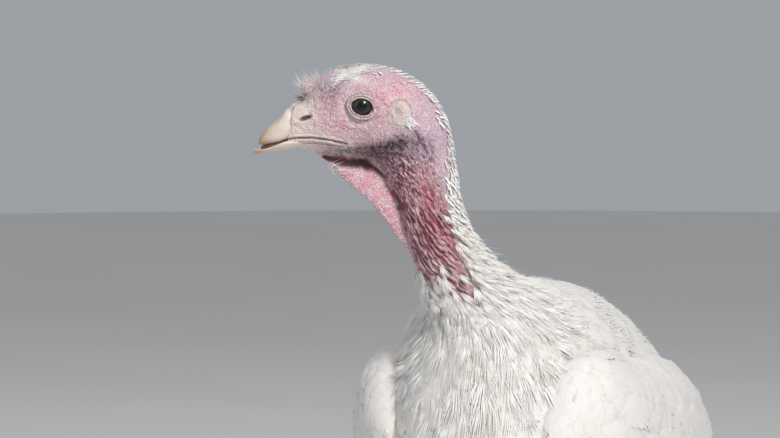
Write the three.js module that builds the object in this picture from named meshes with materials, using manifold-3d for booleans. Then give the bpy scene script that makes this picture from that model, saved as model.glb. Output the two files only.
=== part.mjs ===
// A broad-breasted white domestic turkey hen, life size, standing with her head turned to her right.
// Millimetres, +Z up, the breast towards -Y and her left side towards +X. The origin is on the floor,
// under the middle of the whole bird. Every solid reaches to the tips of the feathers it stands for.
import * as THREE from "three";
import { mergeVertices } from "three/addons/utils/BufferGeometryUtils.js";
import Module from "manifold-3d";

const wasm = await Module();
wasm.setup();

// ---- Driving dimensions -------------------------------------------------------------------------
const GAP = 0.3; // between solids that meet
const HEAD_TURN = 70.5; // degrees, from the breast's heading towards her right
const NECK_BASE = { y: -60, z: 417 }; // the middle of the neck where it enters the trunk
const EYES_FROM_NECK_BASE = { ahead: 65, above: 115, left: 20 }; // along the head's own axes
const EYE_RADIUS = 8;
const EYE_CENTRE = { ahead: 0.6, above: 0, left: 12.6 };
const EAR = { ahead: -20.4, above: -4.4, left: 19.6, reach: 6.3, rise: 7.6, depth: 3.6 };
const BILL_ROOT = 42; // ahead of the eyes
const WING_SPLITS = { coverts: -8, secondaries: 138 };
const HOCK = { x: 60, y: 119, z: 128 };
const ANKLE = { x: 62, y: 89, z: 12 };
const ANKLE_LENGTH = 12; // how far up from its middle the foot's own solid reaches
const PAD = { ahead: 4, reach: 17, half: 13, height: 15 };
const TOE_SPLIT = 25; // from the middle of the foot to where each front toe is its own solid
const HIND_SPLIT = 19;
const CLAW_LENGTH = 13;
const SOLE_CUT = 0.7; // how much of the round underside is pressed flat on the floor
const TOES = {
  inner: { turn: 32, length: 52, thick: 6.2, joints: 2, split: TOE_SPLIT },
  middle: { turn: -3, length: 75, thick: 6.6, joints: 3, split: TOE_SPLIT },
  outer: { turn: -37, length: 58, thick: 6, joints: 3, split: TOE_SPLIT },
  hind: { turn: 165, length: 27, thick: 5, joints: 1, split: HIND_SPLIT },
};

// ---- Directions ---------------------------------------------------------------------------------
const UP = new THREE.Vector3(0, 0, 1);
const radians = THREE.MathUtils.degToRad;
const degrees = THREE.MathUtils.radToDeg;

/** The level direction that a part faces when it is turned to her right by some degrees. */
function ahead(turn) {
  return new THREE.Vector3(-Math.sin(radians(turn)), -Math.cos(radians(turn)), 0);
}

/** The level direction to the left of that heading. */
function left(turn) {
  return new THREE.Vector3(Math.cos(radians(turn)), -Math.sin(radians(turn)), 0);
}

/** A point given from an origin along a heading's own axes. */
function along(origin, turn, place) {
  return origin
    .clone()
    .addScaledVector(ahead(turn), place.ahead)
    .addScaledVector(UP, place.above)
    .addScaledVector(left(turn), place.left);
}

const neckBase = new THREE.Vector3(0, NECK_BASE.y, NECK_BASE.z);
const betweenEyes = along(neckBase, HEAD_TURN, EYES_FROM_NECK_BASE);

// ---- Lofts --------------------------------------------------------------------------------------
/** Catmull-Rom interpolation of a list of numbers at a place counted in list steps. */
function smooth(values, place) {
  const last = values.length - 1;
  const i = Math.min(Math.floor(place), last - 1);
  const u = place - i;
  const [a, b, c, d] = [i - 1, i, i + 1, i + 2].map((k) => values[Math.max(0, Math.min(last, k))]);
  return 0.5 * (2 * b + (c - a) * u + (2 * a - 5 * b + 4 * c - d) * u * u + (3 * b - a - 3 * c + d) * u ** 3);
}

const SECTION_KEYS = ["x", "y", "z", "turn", "tilt", "half", "top", "bottom", "power", "pinch"];

/** The section at a place along a list of them, every measure interpolated. */
function sectionAt(sections, place) {
  return Object.fromEntries(SECTION_KEYS.map((key) => [key, smooth(sections.map((s) => s[key]), place)]));
}

const signedPower = (x, p) => Math.sign(x) * Math.abs(x) ** p;

/** The closed outline of a section: half a width each way, a top and a bottom of their own heights. */
function outline(section, around, grow) {
  const { x, y, z, turn, tilt, half, top, bottom, power, pinch } = section;
  const side = left(turn);
  const dorsal = ahead(turn)
    .multiplyScalar(-Math.sin(radians(tilt)))
    .addScaledVector(UP, Math.cos(radians(tilt)));
  return Array.from({ length: around }, (_, k) => {
    const a = (2 * Math.PI * k) / around;
    const rise = signedPower(Math.cos(a), 2 / power);
    const reach = signedPower(Math.sin(a), 2 / power) * (1 + Math.min(0, rise) * pinch);
    return new THREE.Vector3(x, y, z)
      .addScaledVector(side, reach * (half + grow))
      .addScaledVector(dorsal, rise * ((rise > 0 ? top : bottom) + grow));
  });
}

/** A closed surface through rings with the same number of corners, capped flat at both ends. */
function skinRings(rings) {
  const around = rings[0].length;
  const points = rings.flat();
  const faces = [];
  for (let i = 0; i + 1 < rings.length; i++) {
    for (let k = 0; k < around; k++) {
      const next = (k + 1) % around;
      const [a, b] = [i * around + k, i * around + next];
      const [c, d] = [b + around, a + around];
      faces.push(a, b, c, a, c, d);
    }
  }
  const closeEnd = (ring, start, facesBack) => {
    const middle = points.length;
    points.push(ring.reduce((sum, p) => sum.add(p), new THREE.Vector3()).divideScalar(around));
    for (let k = 0; k < around; k++) {
      const [p, q] = [start + k, start + ((k + 1) % around)];
      faces.push(...(facesBack ? [middle, q, p] : [middle, p, q]));
    }
  };
  closeEnd(rings[0], 0, true);
  closeEnd(rings.at(-1), (rings.length - 1) * around, false);
  const geometry = new THREE.BufferGeometry().setFromPoints(points);
  geometry.setIndex(faces);
  return geometry;
}

/** The manifold solid of a closed geometry, turned to face out if need be. */
function solid(geometry) {
  const bare = geometry.clone();
  bare.deleteAttribute("normal");
  bare.deleteAttribute("uv");
  const merged = mergeVertices(bare, 1e-4);
  const triVerts = new Uint32Array(merged.index.array);
  const vertProperties = merged.attributes.position.array;
  const made = new wasm.Manifold(new wasm.Mesh({ numProp: 3, vertProperties, triVerts }));
  if (made.volume() > 0) return made;
  for (let i = 0; i < triVerts.length; i += 3) {
    [triVerts[i], triVerts[i + 1]] = [triVerts[i + 1], triVerts[i]];
  }
  return new wasm.Manifold(new wasm.Mesh({ numProp: 3, vertProperties, triVerts }));
}

/** Evenly spaced places, both ends among them. */
function spread(from, to, steps) {
  return Array.from({ length: steps + 1 }, (_, i) => from + ((to - from) * i) / steps);
}

/** A solid lofted through the sections at some places along them, grown all round if asked. */
function loft(sections, places, around, grow = 0) {
  return solid(skinRings(places.map((place) => outline(sectionAt(sections, place), around, grow))));
}

/** An ellipsoid with its three radii along a heading's ahead, left and up. */
function ellipsoid(centre, turn, radii, detail) {
  const geometry = new THREE.SphereGeometry(1, ...detail);
  const axes = new THREE.Matrix4().makeBasis(
    ahead(turn).multiplyScalar(radii.ahead),
    left(turn).multiplyScalar(radii.left),
    UP.clone().multiplyScalar(radii.above),
  );
  geometry.applyMatrix4(axes.setPosition(centre));
  return solid(geometry);
}

/** The biggest of the separate bodies in a solid. */
function largest(made) {
  return made.decompose().sort((a, b) => b.volume() - a.volume())[0];
}

/** The part of a solid beyond a plane, and the part before it, with a gap between the two. */
function parted(made, normal, offset) {
  const beyond = made.trimByPlane(normal, offset + GAP / 2);
  const before = made.trimByPlane(
    normal.map((n) => -n),
    GAP / 2 - offset,
  );
  return [beyond, before];
}

// ---- Head, neck and trunk, as one run of sections ------------------------------------------------
/** A section of the head or neck, its middle given from between the eyes along the head's axes. */
function headSection([forward, above, side], [turn, tilt], half, [top, bottom], power, pinch) {
  const { x, y, z } = along(betweenEyes, HEAD_TURN, { ahead: forward, above, left: side });
  return { x, y, z, turn, tilt, half, top, bottom, power, pinch };
}

/** A section of the trunk or tail, its middle on her own middle plane. */
function trunkSection([y, z], [turn, tilt], half, [top, bottom], power, pinch) {
  return { x: 0, y, z, turn, tilt, half, top, bottom, power, pinch };
}

// [ahead, above, left], [turn, tilt], half width, [top, bottom], power, pinch of the underside
const HEAD = [
  headSection([BILL_ROOT, -11, 0], [HEAD_TURN, 0], 8.2, [10.2, 13], 2.1, 0.1),
  headSection([33, -9, 0], [HEAD_TURN, 0], 10.5, [14.6, 15.5], 2.1, 0.15),
  headSection([26, -8, 0], [HEAD_TURN, 0], 13, [22.5, 18], 2.1, 0.2),
  headSection([18.5, -7, 0], [HEAD_TURN, 0], 15.4, [26.4, 20.5], 2.1, 0.2),
  headSection([10, -5, 0], [HEAD_TURN, 0], 17.4, [25.8, 23.5], 2.2, 0.25),
  headSection([0, -4, 0], [HEAD_TURN, 4], 19.2, [26, 25], 2.2, 0.25),
  headSection([-10, -5, 0], [HEAD_TURN, 18], 21.5, [25.3, 25.5], 2.2, 0.2),
  headSection([-18, -9, 0], [HEAD_TURN, 34], 22, [24.5, 24.5], 2.2, 0.15),
  headSection([-24, -15, 0], [HEAD_TURN, 52], 21.5, [23, 23], 2.1, 0.1),
  headSection([-28, -23, 0], [HEAD_TURN, 68], 20, [21, 22], 2, 0.1),
];
const NECK = [
  headSection([-31.5, -33, 0], [HEAD_TURN, 78], 18, [18.8, 20.5], 2, 0.1),
  headSection([-35, -45, 0], [HEAD_TURN, 80], 16.8, [17, 18.5], 2, 0.1),
  headSection([-38.5, -58, -2], [66, 74], 16.5, [15.5, 18.5], 2, 0),
  headSection([-43, -70.5, -5], [58, 66], 17.2, [15.5, 20], 2, 0),
  headSection([-47.5, -82, -9], [46, 62], 18.6, [17, 22.5], 2, 0),
  headSection([-52.5, -93.5, -14], [32, 59], 21.5, [19.5, 24.5], 2, 0),
  headSection([-59, -105, -18], [16, 58], 25, [23, 27], 2, 0),
];
const TRUNK = [
  trunkSection([NECK_BASE.y, NECK_BASE.z], [5, 57], 31, [30, 33], 2, 0),
  trunkSection([-50, 395], [0, 50], 47, [50, 57], 2, 0),
  trunkSection([-30, 364], [0, 38], 64, [77, 111], 2.1, -0.06),
  trunkSection([6, 333], [0, 24], 73, [97, 142], 2.15, -0.14),
  trunkSection([62, 309], [0, 11], 77, [108, 151], 2.15, -0.14),
  trunkSection([125, 299], [0, 0], 74, [101, 139], 2.1, -0.08),
  trunkSection([185, 297], [0, -8], 63, [81, 111], 2.05, 0),
  trunkSection([235, 299], [0, -12], 47, [55, 78], 2, 0.05),
  trunkSection([276, 302], [0, -15], 31, [31, 45], 2, 0),
  trunkSection([300, 304], [0, -16], 15, [14, 20], 2, 0),
];
const BODY = [...HEAD, ...NECK, ...TRUNK];
const BODY_AROUND = 22;
const bodyEnd = BODY.length - 1;
const neckEnd = HEAD.length + NECK.length;
const bodySplits = {
  head: [0, HEAD.length - 0.5],
  neck_upper: [HEAD.length - 0.5, HEAD.length + 3],
  neck_lower: [HEAD.length + 3, neckEnd],
  breast: [neckEnd, neckEnd + 3.5],
  back: [neckEnd + 3.5, neckEnd + 6],
  rump: [neckEnd + 6, bodyEnd],
};

/** How far apart in millimetres two places a step apart are, near a place on the body. */
function stepLength(place) {
  const [a, b] = [place - 0.05, place + 0.05].map((p) => sectionAt(BODY, p));
  return Math.hypot(a.x - b.x, a.y - b.y, a.z - b.z) / 0.1;
}

/** The places of the rings of one length of the body, half a step apart, held off the cuts. */
function bodyPlaces([from, to]) {
  const places = spread(from, to, Math.round((to - from) * 2));
  if (from > 0) places[0] += GAP / 2 / stepLength(from);
  if (to < bodyEnd) places[places.length - 1] -= GAP / 2 / stepLength(to);
  return places;
}

const bodyLengths = Object.fromEntries(
  Object.entries(bodySplits).map(([name, ends]) => [name, loft(BODY, bodyPlaces(ends), BODY_AROUND)]),
);
const everyPlace = Object.values(bodySplits).flatMap(bodyPlaces);
const bodyGrown = loft(BODY, everyPlace, BODY_AROUND, GAP);

// ---- Eyes, ears, snood, bill and dewlap -----------------------------------------------------------
/** A point of the head, from between the eyes. */
function headPoint(place) {
  return along(betweenEyes, HEAD_TURN, place);
}

/** One eyeball, or its socket when grown by the gap. */
function eyeball(side, grow = 0) {
  const r = EYE_RADIUS + grow;
  const centre = headPoint({ ...EYE_CENTRE, left: side * EYE_CENTRE.left });
  return ellipsoid(centre, HEAD_TURN, { ahead: r, left: r, above: r }, [12, 6]);
}

/** The disc of short pale feathers over an ear, standing a little proud of the head. */
function earPatch(side) {
  const centre = headPoint({ ahead: EAR.ahead, above: EAR.above, left: side * EAR.left });
  const radii = { ahead: EAR.reach, left: EAR.depth, above: EAR.rise };
  return largest(ellipsoid(centre, HEAD_TURN, radii, [12, 6]).subtract(bodyGrown));
}

/** The short fleshy snood above the bill, leaning forward. */
function snood() {
  const sections = [
    headSection([22, 5.2, 0], [HEAD_TURN, 12], 6.8, [8.4, 8], 2, 0),
    headSection([27, 7.4, 0], [HEAD_TURN, 16], 6, [6.6, 6.6], 2, 0),
    headSection([30.6, 8.9, 0], [HEAD_TURN, 14], 5.3, [5.4, 5.2], 2, 0),
    headSection([33.4, 9.6, 0], [HEAD_TURN, 0], 4.1, [4, 4], 2, 0),
    headSection([35.2, 9.5, 0], [HEAD_TURN, -10], 1.9, [1.8, 1.8], 2, 0),
  ];
  return largest(loft(sections, spread(0, 4, 7), 8).subtract(bodyGrown));
}

const LEVEL = [HEAD_TURN, 0];
const UPPER_BILL = [
  headSection([BILL_ROOT + GAP, -9, 0], LEVEL, 7.8, [7.2, 9.4], 2.1, -0.05),
  headSection([47.5, -12.2, 0], LEVEL, 6.9, [4.6, 8.4], 2.1, -0.05),
  headSection([53, -15.8, 0], LEVEL, 5.4, [3.8, 5.9], 2.1, 0),
  headSection([56.6, -18.6, 0], LEVEL, 3.7, [2.6, 3.2], 2, 0),
  headSection([58.6, -20.4, 0], LEVEL, 1.6, [1.3, 1], 2, 0),
];
const LOWER_BILL = [
  headSection([BILL_ROOT + GAP, -21, 0], LEVEL, 7, [1.6, 3.9], 2.2, 0.25),
  headSection([48, -22.2, 0], LEVEL, 6.3, [0.7, 3.4], 2.2, 0.25),
  headSection([54, -24.5, 0], LEVEL, 5, [0.8, 2.2], 2.2, 0.2),
  headSection([58.6, -25.5, 0], LEVEL, 3.2, [1.1, 1.5], 2, 0.1),
  headSection([61.2, -25.5, 0], LEVEL, 1.5, [1.2, 1.1], 2, 0),
];

/** One half of the bill. */
function bill(sections) {
  return loft(sections, spread(0, sections.length - 1, 8), 12);
}

/** The curtain of bare skin that hangs from the chin down the front of the neck. */
function dewlap() {
  // the hem and the root on the throat, each [ahead, above], and half the thickness
  const rows = [
    [[27, -26.5], [14, -20], 1.4],
    [[17.8, -34.3], [2, -22], 2],
    [[9.2, -43.2], [-12, -27], 2.3],
    [[-1.2, -52], [-24, -38], 2.4],
    [[-10.5, -62.5], [-30, -50], 2.4],
    [[-19.2, -74.3], [-34, -66], 2.2],
    [[-25, -83.4], [-38, -77], 1.8],
  ];
  const sections = rows.map(([hem, root, thick], i) => {
    const across = [hem[0] - root[0], root[1] - hem[1]];
    const reach = Math.hypot(...across) / 2;
    const lean = degrees(Math.atan2(across[0], across[1]));
    const drift = -4 * Math.max(0, (i - 3) / 3) ** 2;
    const middle = [(hem[0] + root[0]) / 2, (hem[1] + root[1]) / 2, drift];
    return headSection(middle, [HEAD_TURN - 2 * i, lean], thick, [reach, reach], 2.6, 0);
  });
  return largest(loft(sections, spread(0, 6, 9), 8).subtract(bodyGrown));
}

// ---- Wings ----------------------------------------------------------------------------------------
/** A section of the folded left wing: a pad against her side, its middle at x, y and z. */
function wingSection([x, y, z], half, [top, bottom]) {
  return { x, y, z, turn: 0, tilt: 0, half, top, bottom, power: 2.2, pinch: 0 };
}

const WING = [
  wingSection([50, -76, 344], 9, [12, 14]),
  wingSection([53, -62, 344], 19, [35, 36]),
  wingSection([57, -36, 339], 26, [50, 54]),
  wingSection([59, 15, 332], 27, [48, 61]),
  wingSection([59, 75, 325], 25, [48, 63]),
  wingSection([57, 135, 315], 22, [46, 57]),
  wingSection([52, 195, 302], 18, [36, 45]),
  wingSection([47, 250, 289], 12, [24, 31]),
  wingSection([43, 295, 279], 7, [15, 19]),
  wingSection([39, 325, 273], 3, [6, 8]),
];

/** The same sections on her other side. */
function mirrored(sections) {
  return sections.map((s) => ({ ...s, x: -s.x, turn: -s.turn }));
}

/** The three lengths of one folded wing, from its bend to the tips of its quills. */
function wing(side) {
  const sections = side > 0 ? WING : mirrored(WING);
  const pad = loft(sections, spread(0, WING.length - 1, 15), 12).subtract(bodyGrown);
  const [beyondCoverts, coverts] = parted(pad, [0, 1, 0], WING_SPLITS.coverts);
  const [primaries, secondaries] = parted(beyondCoverts, [0, 1, 0], WING_SPLITS.secondaries);
  return { coverts: largest(coverts), secondaries: largest(secondaries), primaries: largest(primaries) };
}

// ---- Tail -----------------------------------------------------------------------------------------
const TAIL = [
  trunkSection([262, 306], [0, -22], 26, [16, 16], 2.2, 0),
  trunkSection([300, 293], [0, -22], 33, [17, 17], 2.2, 0),
  trunkSection([350, 273], [0, -22], 40, [13, 13], 2.3, 0),
  trunkSection([410, 249], [0, -22], 47, [9, 9], 2.4, 0),
  trunkSection([460, 229], [0, -22], 51, [6, 6], 2.5, 0),
  trunkSection([492, 216], [0, -22], 44, [4, 4], 2.5, 0),
  trunkSection([502, 212], [0, -22], 26, [2, 2], 2.3, 0),
];
const tail = largest(loft(TAIL, spread(0, 6, 9), 12).subtract(bodyGrown));

// ---- Legs -----------------------------------------------------------------------------------------
/** A round section of a leg. */
function legSection(side, [x, y, z], tilt, half, deep) {
  return { x: side * x, y, z, turn: 0, tilt, half, top: deep, bottom: deep, power: 2.1, pinch: 0 };
}

/** One feathered thigh and drumstick, from under the body down to the hock. */
function thigh(side) {
  const sections = [
    legSection(side, [46, 74, 262], 80, 30, 44),
    legSection(side, [52, 82, 225], 76, 34, 50),
    legSection(side, [56, 94, 190], 70, 29, 41),
    legSection(side, [59, 107, 160], 68, 20, 27),
    legSection(side, [HOCK.x, 116, 139], 72, 12, 14),
    legSection(side, [HOCK.x, HOCK.y, HOCK.z - 8], 84, 9.5, 10.5),
  ];
  const whole = loft(sections, spread(0, 5, 8), 12).subtract(bodyGrown);
  return largest(parted(whole, [0, 0, 1], HOCK.z)[0]);
}

/** One bare shank, from above the hock down into the foot. */
function wholeShank(side) {
  const shape = [
    [-0.04, 9, 10],
    [0.08, 9, 10.4],
    [0.26, 6.6, 8],
    [0.6, 6.2, 7.4],
    [0.84, 7.4, 7.8],
    [1, 8.6, 8.4],
  ];
  const sections = shape.map(([share, half, deep]) => {
    const at = ["x", "y", "z"].map((axis) => HOCK[axis] + (ANKLE[axis] - HOCK[axis]) * share);
    return legSection(side, at, 104, half, deep);
  });
  return loft(sections, spread(0, 5, 8), 12);
}

/** The middle of the sole of one foot, on the floor. */
function footCentre(side) {
  return new THREE.Vector3(side * ANKLE.x, ANKLE.y - PAD.ahead, 0);
}

/** A run of sections with a flat sole, each given by its distance out, half width and height. */
function floorLoft(side, turn, shape, around) {
  const sections = shape.map(([out, half, high]) => {
    const { x, y } = footCentre(side).addScaledVector(ahead(turn), out);
    const [top, bottom] = [high * 0.55, high * 0.45];
    return { x, y, z: bottom - SOLE_CUT, turn, tilt: 0, half, top, bottom, power: 2.6, pinch: 0 };
  });
  return loft(sections, spread(0, shape.length - 1, shape.length - 1), around).trimByPlane([0, 0, 1], 0);
}

/** One toe from inside the foot to its claw, swelling at each joint. */
function toe(side, { turn, length, thick, joints }) {
  const shape = [[2, thick, thick * 2.1]];
  for (let j = 1; j <= joints; j++) {
    const share = (j - 0.2) / joints;
    const girth = thick * (1 - 0.3 * share);
    shape.push([length * (share - 0.2 / joints), girth * 0.88, girth * 1.8]);
    shape.push([length * share, girth, girth * 2]);
  }
  shape.push([length, thick * 0.5, thick * 1.15]);
  return floorLoft(side, side * turn, shape, 8);
}

/** One claw, lying on the floor ahead of its toe. */
function claw(side, { turn, length, thick }) {
  const shape = [0, 0.4, 0.75, 1].map((share) => [
    length + GAP + CLAW_LENGTH * share,
    thick * (0.42 - 0.3 * share),
    thick * (1.05 - 0.75 * share),
  ]);
  return floorLoft(side, side * turn, shape, 6);
}

/** The pad where the toes and the shank of one foot meet. */
function footPad(side) {
  const shape = [-1, -0.6, 0.6, 1].map((share) => [
    PAD.reach * share,
    PAD.half * Math.sqrt(1.1 - share * share),
    PAD.height * (1 - 0.25 * share * share),
  ]);
  return floorLoft(side, 0, shape, 12);
}

/** The solids of one leg by name: thigh, shank, foot, toes and claws. */
function leg(side) {
  const belowHock = parted(wholeShank(side), [0, 0, 1], HOCK.z)[1];
  const [shank, ankle] = parted(belowHock, [0, 0, 1], ANKLE.z + ANKLE_LENGTH);
  const pieces = { thigh: thigh(side), shank };
  let foot = footPad(side).add(ankle);
  for (const [name, shape] of Object.entries(TOES)) {
    const facing = ahead(side * shape.turn);
    const offset = facing.dot(footCentre(side)) + shape.split;
    const [beyond, before] = parted(toe(side, shape), facing.toArray(), offset);
    foot = foot.add(before);
    pieces[`toe_${name}`] = beyond;
    pieces[`claw_${name}`] = claw(side, shape);
  }
  return { ...pieces, foot };
}

// ---- The whole bird ---------------------------------------------------------------------------------
const MATERIALS = {
  face: new THREE.MeshStandardMaterial({ color: 0xd9a8a6, roughness: 0.6 }),
  bareSkin: new THREE.MeshStandardMaterial({ color: 0xc97f80, roughness: 0.55 }),
  feather: new THREE.MeshStandardMaterial({ color: 0xeeeae0, roughness: 0.85 }),
  horn: new THREE.MeshStandardMaterial({ color: 0xd8c39c, roughness: 0.4 }),
  eye: new THREE.MeshStandardMaterial({ color: 0x17120f, roughness: 0.05 }),
  scales: new THREE.MeshStandardMaterial({ color: 0xcfa79a, roughness: 0.6 }),
};

const bird = new THREE.Group();

/** Adds a solid to the bird as a named mesh. */
function addNode(name, made, look) {
  const { numProp, vertProperties, triVerts, numVert } = made.getMesh();
  const places = new Float32Array(numVert * 3);
  for (let i = 0; i < numVert; i++) places.set(vertProperties.subarray(i * numProp, i * numProp + 3), i * 3);
  const geometry = new THREE.BufferGeometry();
  geometry.setAttribute("position", new THREE.BufferAttribute(places, 3));
  geometry.setIndex(new THREE.BufferAttribute(triVerts, 1));
  geometry.computeVertexNormals();
  const mesh = new THREE.Mesh(geometry, MATERIALS[look]);
  mesh.name = name;
  bird.add(mesh);
}

const { head, neck_upper, ...feathered } = bodyLengths;
addNode("head", head.subtract(eyeball(1, GAP)).subtract(eyeball(-1, GAP)), "face");
addNode("neck_upper", neck_upper, "bareSkin");
for (const [name, made] of Object.entries(feathered)) addNode(name, made, "feather");
addNode("tail", tail, "feather");
addNode("snood", snood(), "face");
addNode("dewlap", dewlap(), "bareSkin");
addNode("upper_bill", bill(UPPER_BILL), "horn");
addNode("lower_bill", bill(LOWER_BILL), "horn");

for (const [name, side] of Object.entries({ left: 1, right: -1 })) {
  addNode(`eye_${name}`, eyeball(side), "eye");
  addNode(`ear_${name}`, earPatch(side), "feather");
  for (const [part, made] of Object.entries(wing(side))) addNode(`wing_${name}_${part}`, made, "feather");
  for (const [part, made] of Object.entries(leg(side))) {
    const look = { thigh: "feather", claw: "horn" }[part.split("_")[0]] ?? "scales";
    addNode(`${part}_${name}`, made, look);
  }
}

// the origin comes under the middle of the bird's box, on the floor
const box = new THREE.Box3().setFromObject(bird, true);
const middle = box.getCenter(new THREE.Vector3());
bird.position.set(-middle.x, -middle.y, -box.min.z);

export default bird;
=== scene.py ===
"""A life-size domestic turkey hen of the broad-breasted white kind: skin, bill, eyes, scaled legs and
plumage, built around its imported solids. Sizes are in millimetres in the bird's own axes until a mesh is
made."""
import math

import bpy
import numpy as np
from bpy.props import FloatProperty, FloatVectorProperty, PointerProperty
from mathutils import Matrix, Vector, kdtree


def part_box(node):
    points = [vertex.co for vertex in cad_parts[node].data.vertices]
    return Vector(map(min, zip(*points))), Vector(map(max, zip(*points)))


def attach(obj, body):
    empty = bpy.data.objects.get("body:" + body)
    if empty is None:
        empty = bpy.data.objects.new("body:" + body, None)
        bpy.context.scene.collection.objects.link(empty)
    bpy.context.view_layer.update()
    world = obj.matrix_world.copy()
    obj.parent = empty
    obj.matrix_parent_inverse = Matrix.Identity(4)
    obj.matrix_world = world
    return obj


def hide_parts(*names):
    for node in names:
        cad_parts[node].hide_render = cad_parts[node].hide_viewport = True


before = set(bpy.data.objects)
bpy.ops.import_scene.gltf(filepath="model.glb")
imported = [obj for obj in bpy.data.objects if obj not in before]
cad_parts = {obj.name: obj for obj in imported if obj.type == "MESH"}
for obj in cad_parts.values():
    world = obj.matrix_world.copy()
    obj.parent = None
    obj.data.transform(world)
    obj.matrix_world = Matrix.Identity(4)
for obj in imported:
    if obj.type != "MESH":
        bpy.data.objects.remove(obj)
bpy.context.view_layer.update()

bl_info = {
    "name": "Domestic turkey",
    "version": (1, 0, 0),
    "blender": (4, 5, 0),
    "location": "3D View > Sidebar > Turkey",
    "description": "Builds a white domestic turkey hen with mesh plumage, piece by piece",
    "category": "Object",
}

MM = 0.001
TAU = 2 * math.pi

# ---- The head's own axes and the run of sections of the body ----
HEAD_TURN = 70.5  # degrees that the head is turned to her right
NECK_BASE = (0, -60, 417)
EYES_FROM_NECK_BASE = (65, 20, 115)  # ahead, left and above
EYE_CENTRE = (0.6, 12.6, 0.0)  # from between the eyes: ahead, left, above
EYE_RADIUS = 8.0


def heading(turn):
    """The level direction faced by what is turned to her right by some degrees."""
    turn = np.radians(turn)
    return np.stack([-np.sin(turn), -np.cos(turn), 0 * turn], -1)


def leftward(turn):
    """The level direction to the left of that heading."""
    turn = np.radians(turn)
    return np.stack([np.cos(turn), -np.sin(turn), 0 * turn], -1)


HEAD_AXES = np.array([heading(HEAD_TURN), leftward(HEAD_TURN), [0, 0, 1]])
BETWEEN_EYES = np.array(NECK_BASE) + np.array(EYES_FROM_NECK_BASE) @ HEAD_AXES


def head_point(places):
    """Points given ahead, left and above from between the eyes, as the bird's own."""
    return BETWEEN_EYES + np.asarray(places, float) @ HEAD_AXES


def in_head(points):
    """The bird's own points, as ahead, left and above from between the eyes."""
    return (points - BETWEEN_EYES) @ HEAD_AXES.T


def frame_offset():
    """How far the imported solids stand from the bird's own axes, from where the left eye is."""
    low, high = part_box("eye_left")
    return np.array(low + high) / 2 / MM - head_point(EYE_CENTRE)


OFFSET = frame_offset()


# Each section of a form is its middle, turn, tilt, half width, height above and below, power and pinch.
def head_sections(rows):
    """Sections of the head or neck, their middles given ahead, above and left from between the eyes."""
    return [[*head_point((ahead, left, above)), *shape] for ahead, above, left, *shape in rows]


def trunk_sections(rows):
    """Sections of the trunk or tail, their middles on her middle plane."""
    return [[0, *row] for row in rows]


T = HEAD_TURN
BODY_SECTIONS = head_sections([
    (42, -11, 0, T, 0, 8.2, 10.2, 13, 2.1, 0.1),
    (33, -9, 0, T, 0, 10.5, 14.6, 15.5, 2.1, 0.15),
    (26, -8, 0, T, 0, 13, 22.5, 18, 2.1, 0.2),
    (18.5, -7, 0, T, 0, 15.4, 26.4, 20.5, 2.1, 0.2),
    (10, -5, 0, T, 0, 17.4, 25.8, 23.5, 2.2, 0.25),
    (0, -4, 0, T, 4, 19.2, 26, 25, 2.2, 0.25),
    (-10, -5, 0, T, 18, 21.5, 25.3, 25.5, 2.2, 0.2),
    (-18, -9, 0, T, 34, 22, 24.5, 24.5, 2.2, 0.15),
    (-24, -15, 0, T, 52, 21.5, 23, 23, 2.1, 0.1),
    (-28, -23, 0, T, 68, 20, 21, 22, 2, 0.1),
    (-31.5, -33, 0, T, 78, 18, 18.8, 20.5, 2, 0.1),
    (-35, -45, 0, T, 80, 16.8, 17, 18.5, 2, 0.1),
    (-38.5, -58, -2, 66, 74, 16.5, 15.5, 18.5, 2, 0),
    (-43, -70.5, -5, 58, 66, 17.2, 15.5, 20, 2, 0),
    (-47.5, -82, -9, 46, 62, 18.6, 17, 22.5, 2, 0),
    (-52.5, -93.5, -14, 32, 59, 21.5, 19.5, 24.5, 2, 0),
    (-59, -105, -18, 16, 58, 25, 23, 27, 2, 0),
]) + trunk_sections([
    (-60, 417, 5, 57, 31, 30, 33, 2, 0),
    (-50, 395, 0, 50, 47, 50, 57, 2, 0),
    (-30, 364, 0, 38, 64, 77, 111, 2.1, -0.06),
    (6, 333, 0, 24, 73, 97, 142, 2.15, -0.14),
    (62, 309, 0, 11, 77, 108, 151, 2.15, -0.14),
    (125, 299, 0, 0, 74, 101, 139, 2.1, -0.08),
    (185, 297, 0, -8, 63, 81, 111, 2.05, 0),
    (235, 299, 0, -12, 47, 55, 78, 2, 0.05),
    (276, 302, 0, -15, 31, 31, 45, 2, 0),
    (300, 304, 0, -16, 15, 14, 20, 2, 0),
])
# how deep the skin lies under the tips of the coat, section by section
COAT_DEPTH = [0.2] * 10 + [0.3, 0.3, 0.5, 1, 2, 3.5, 5, 7, 9, 11, 12, 12, 12, 11, 9, 6, 3]
BODY_END = 26  # places along the body are counted in sections
NECK_RADIUS = 17  # millimetres that a radian round the neck takes up
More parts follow.
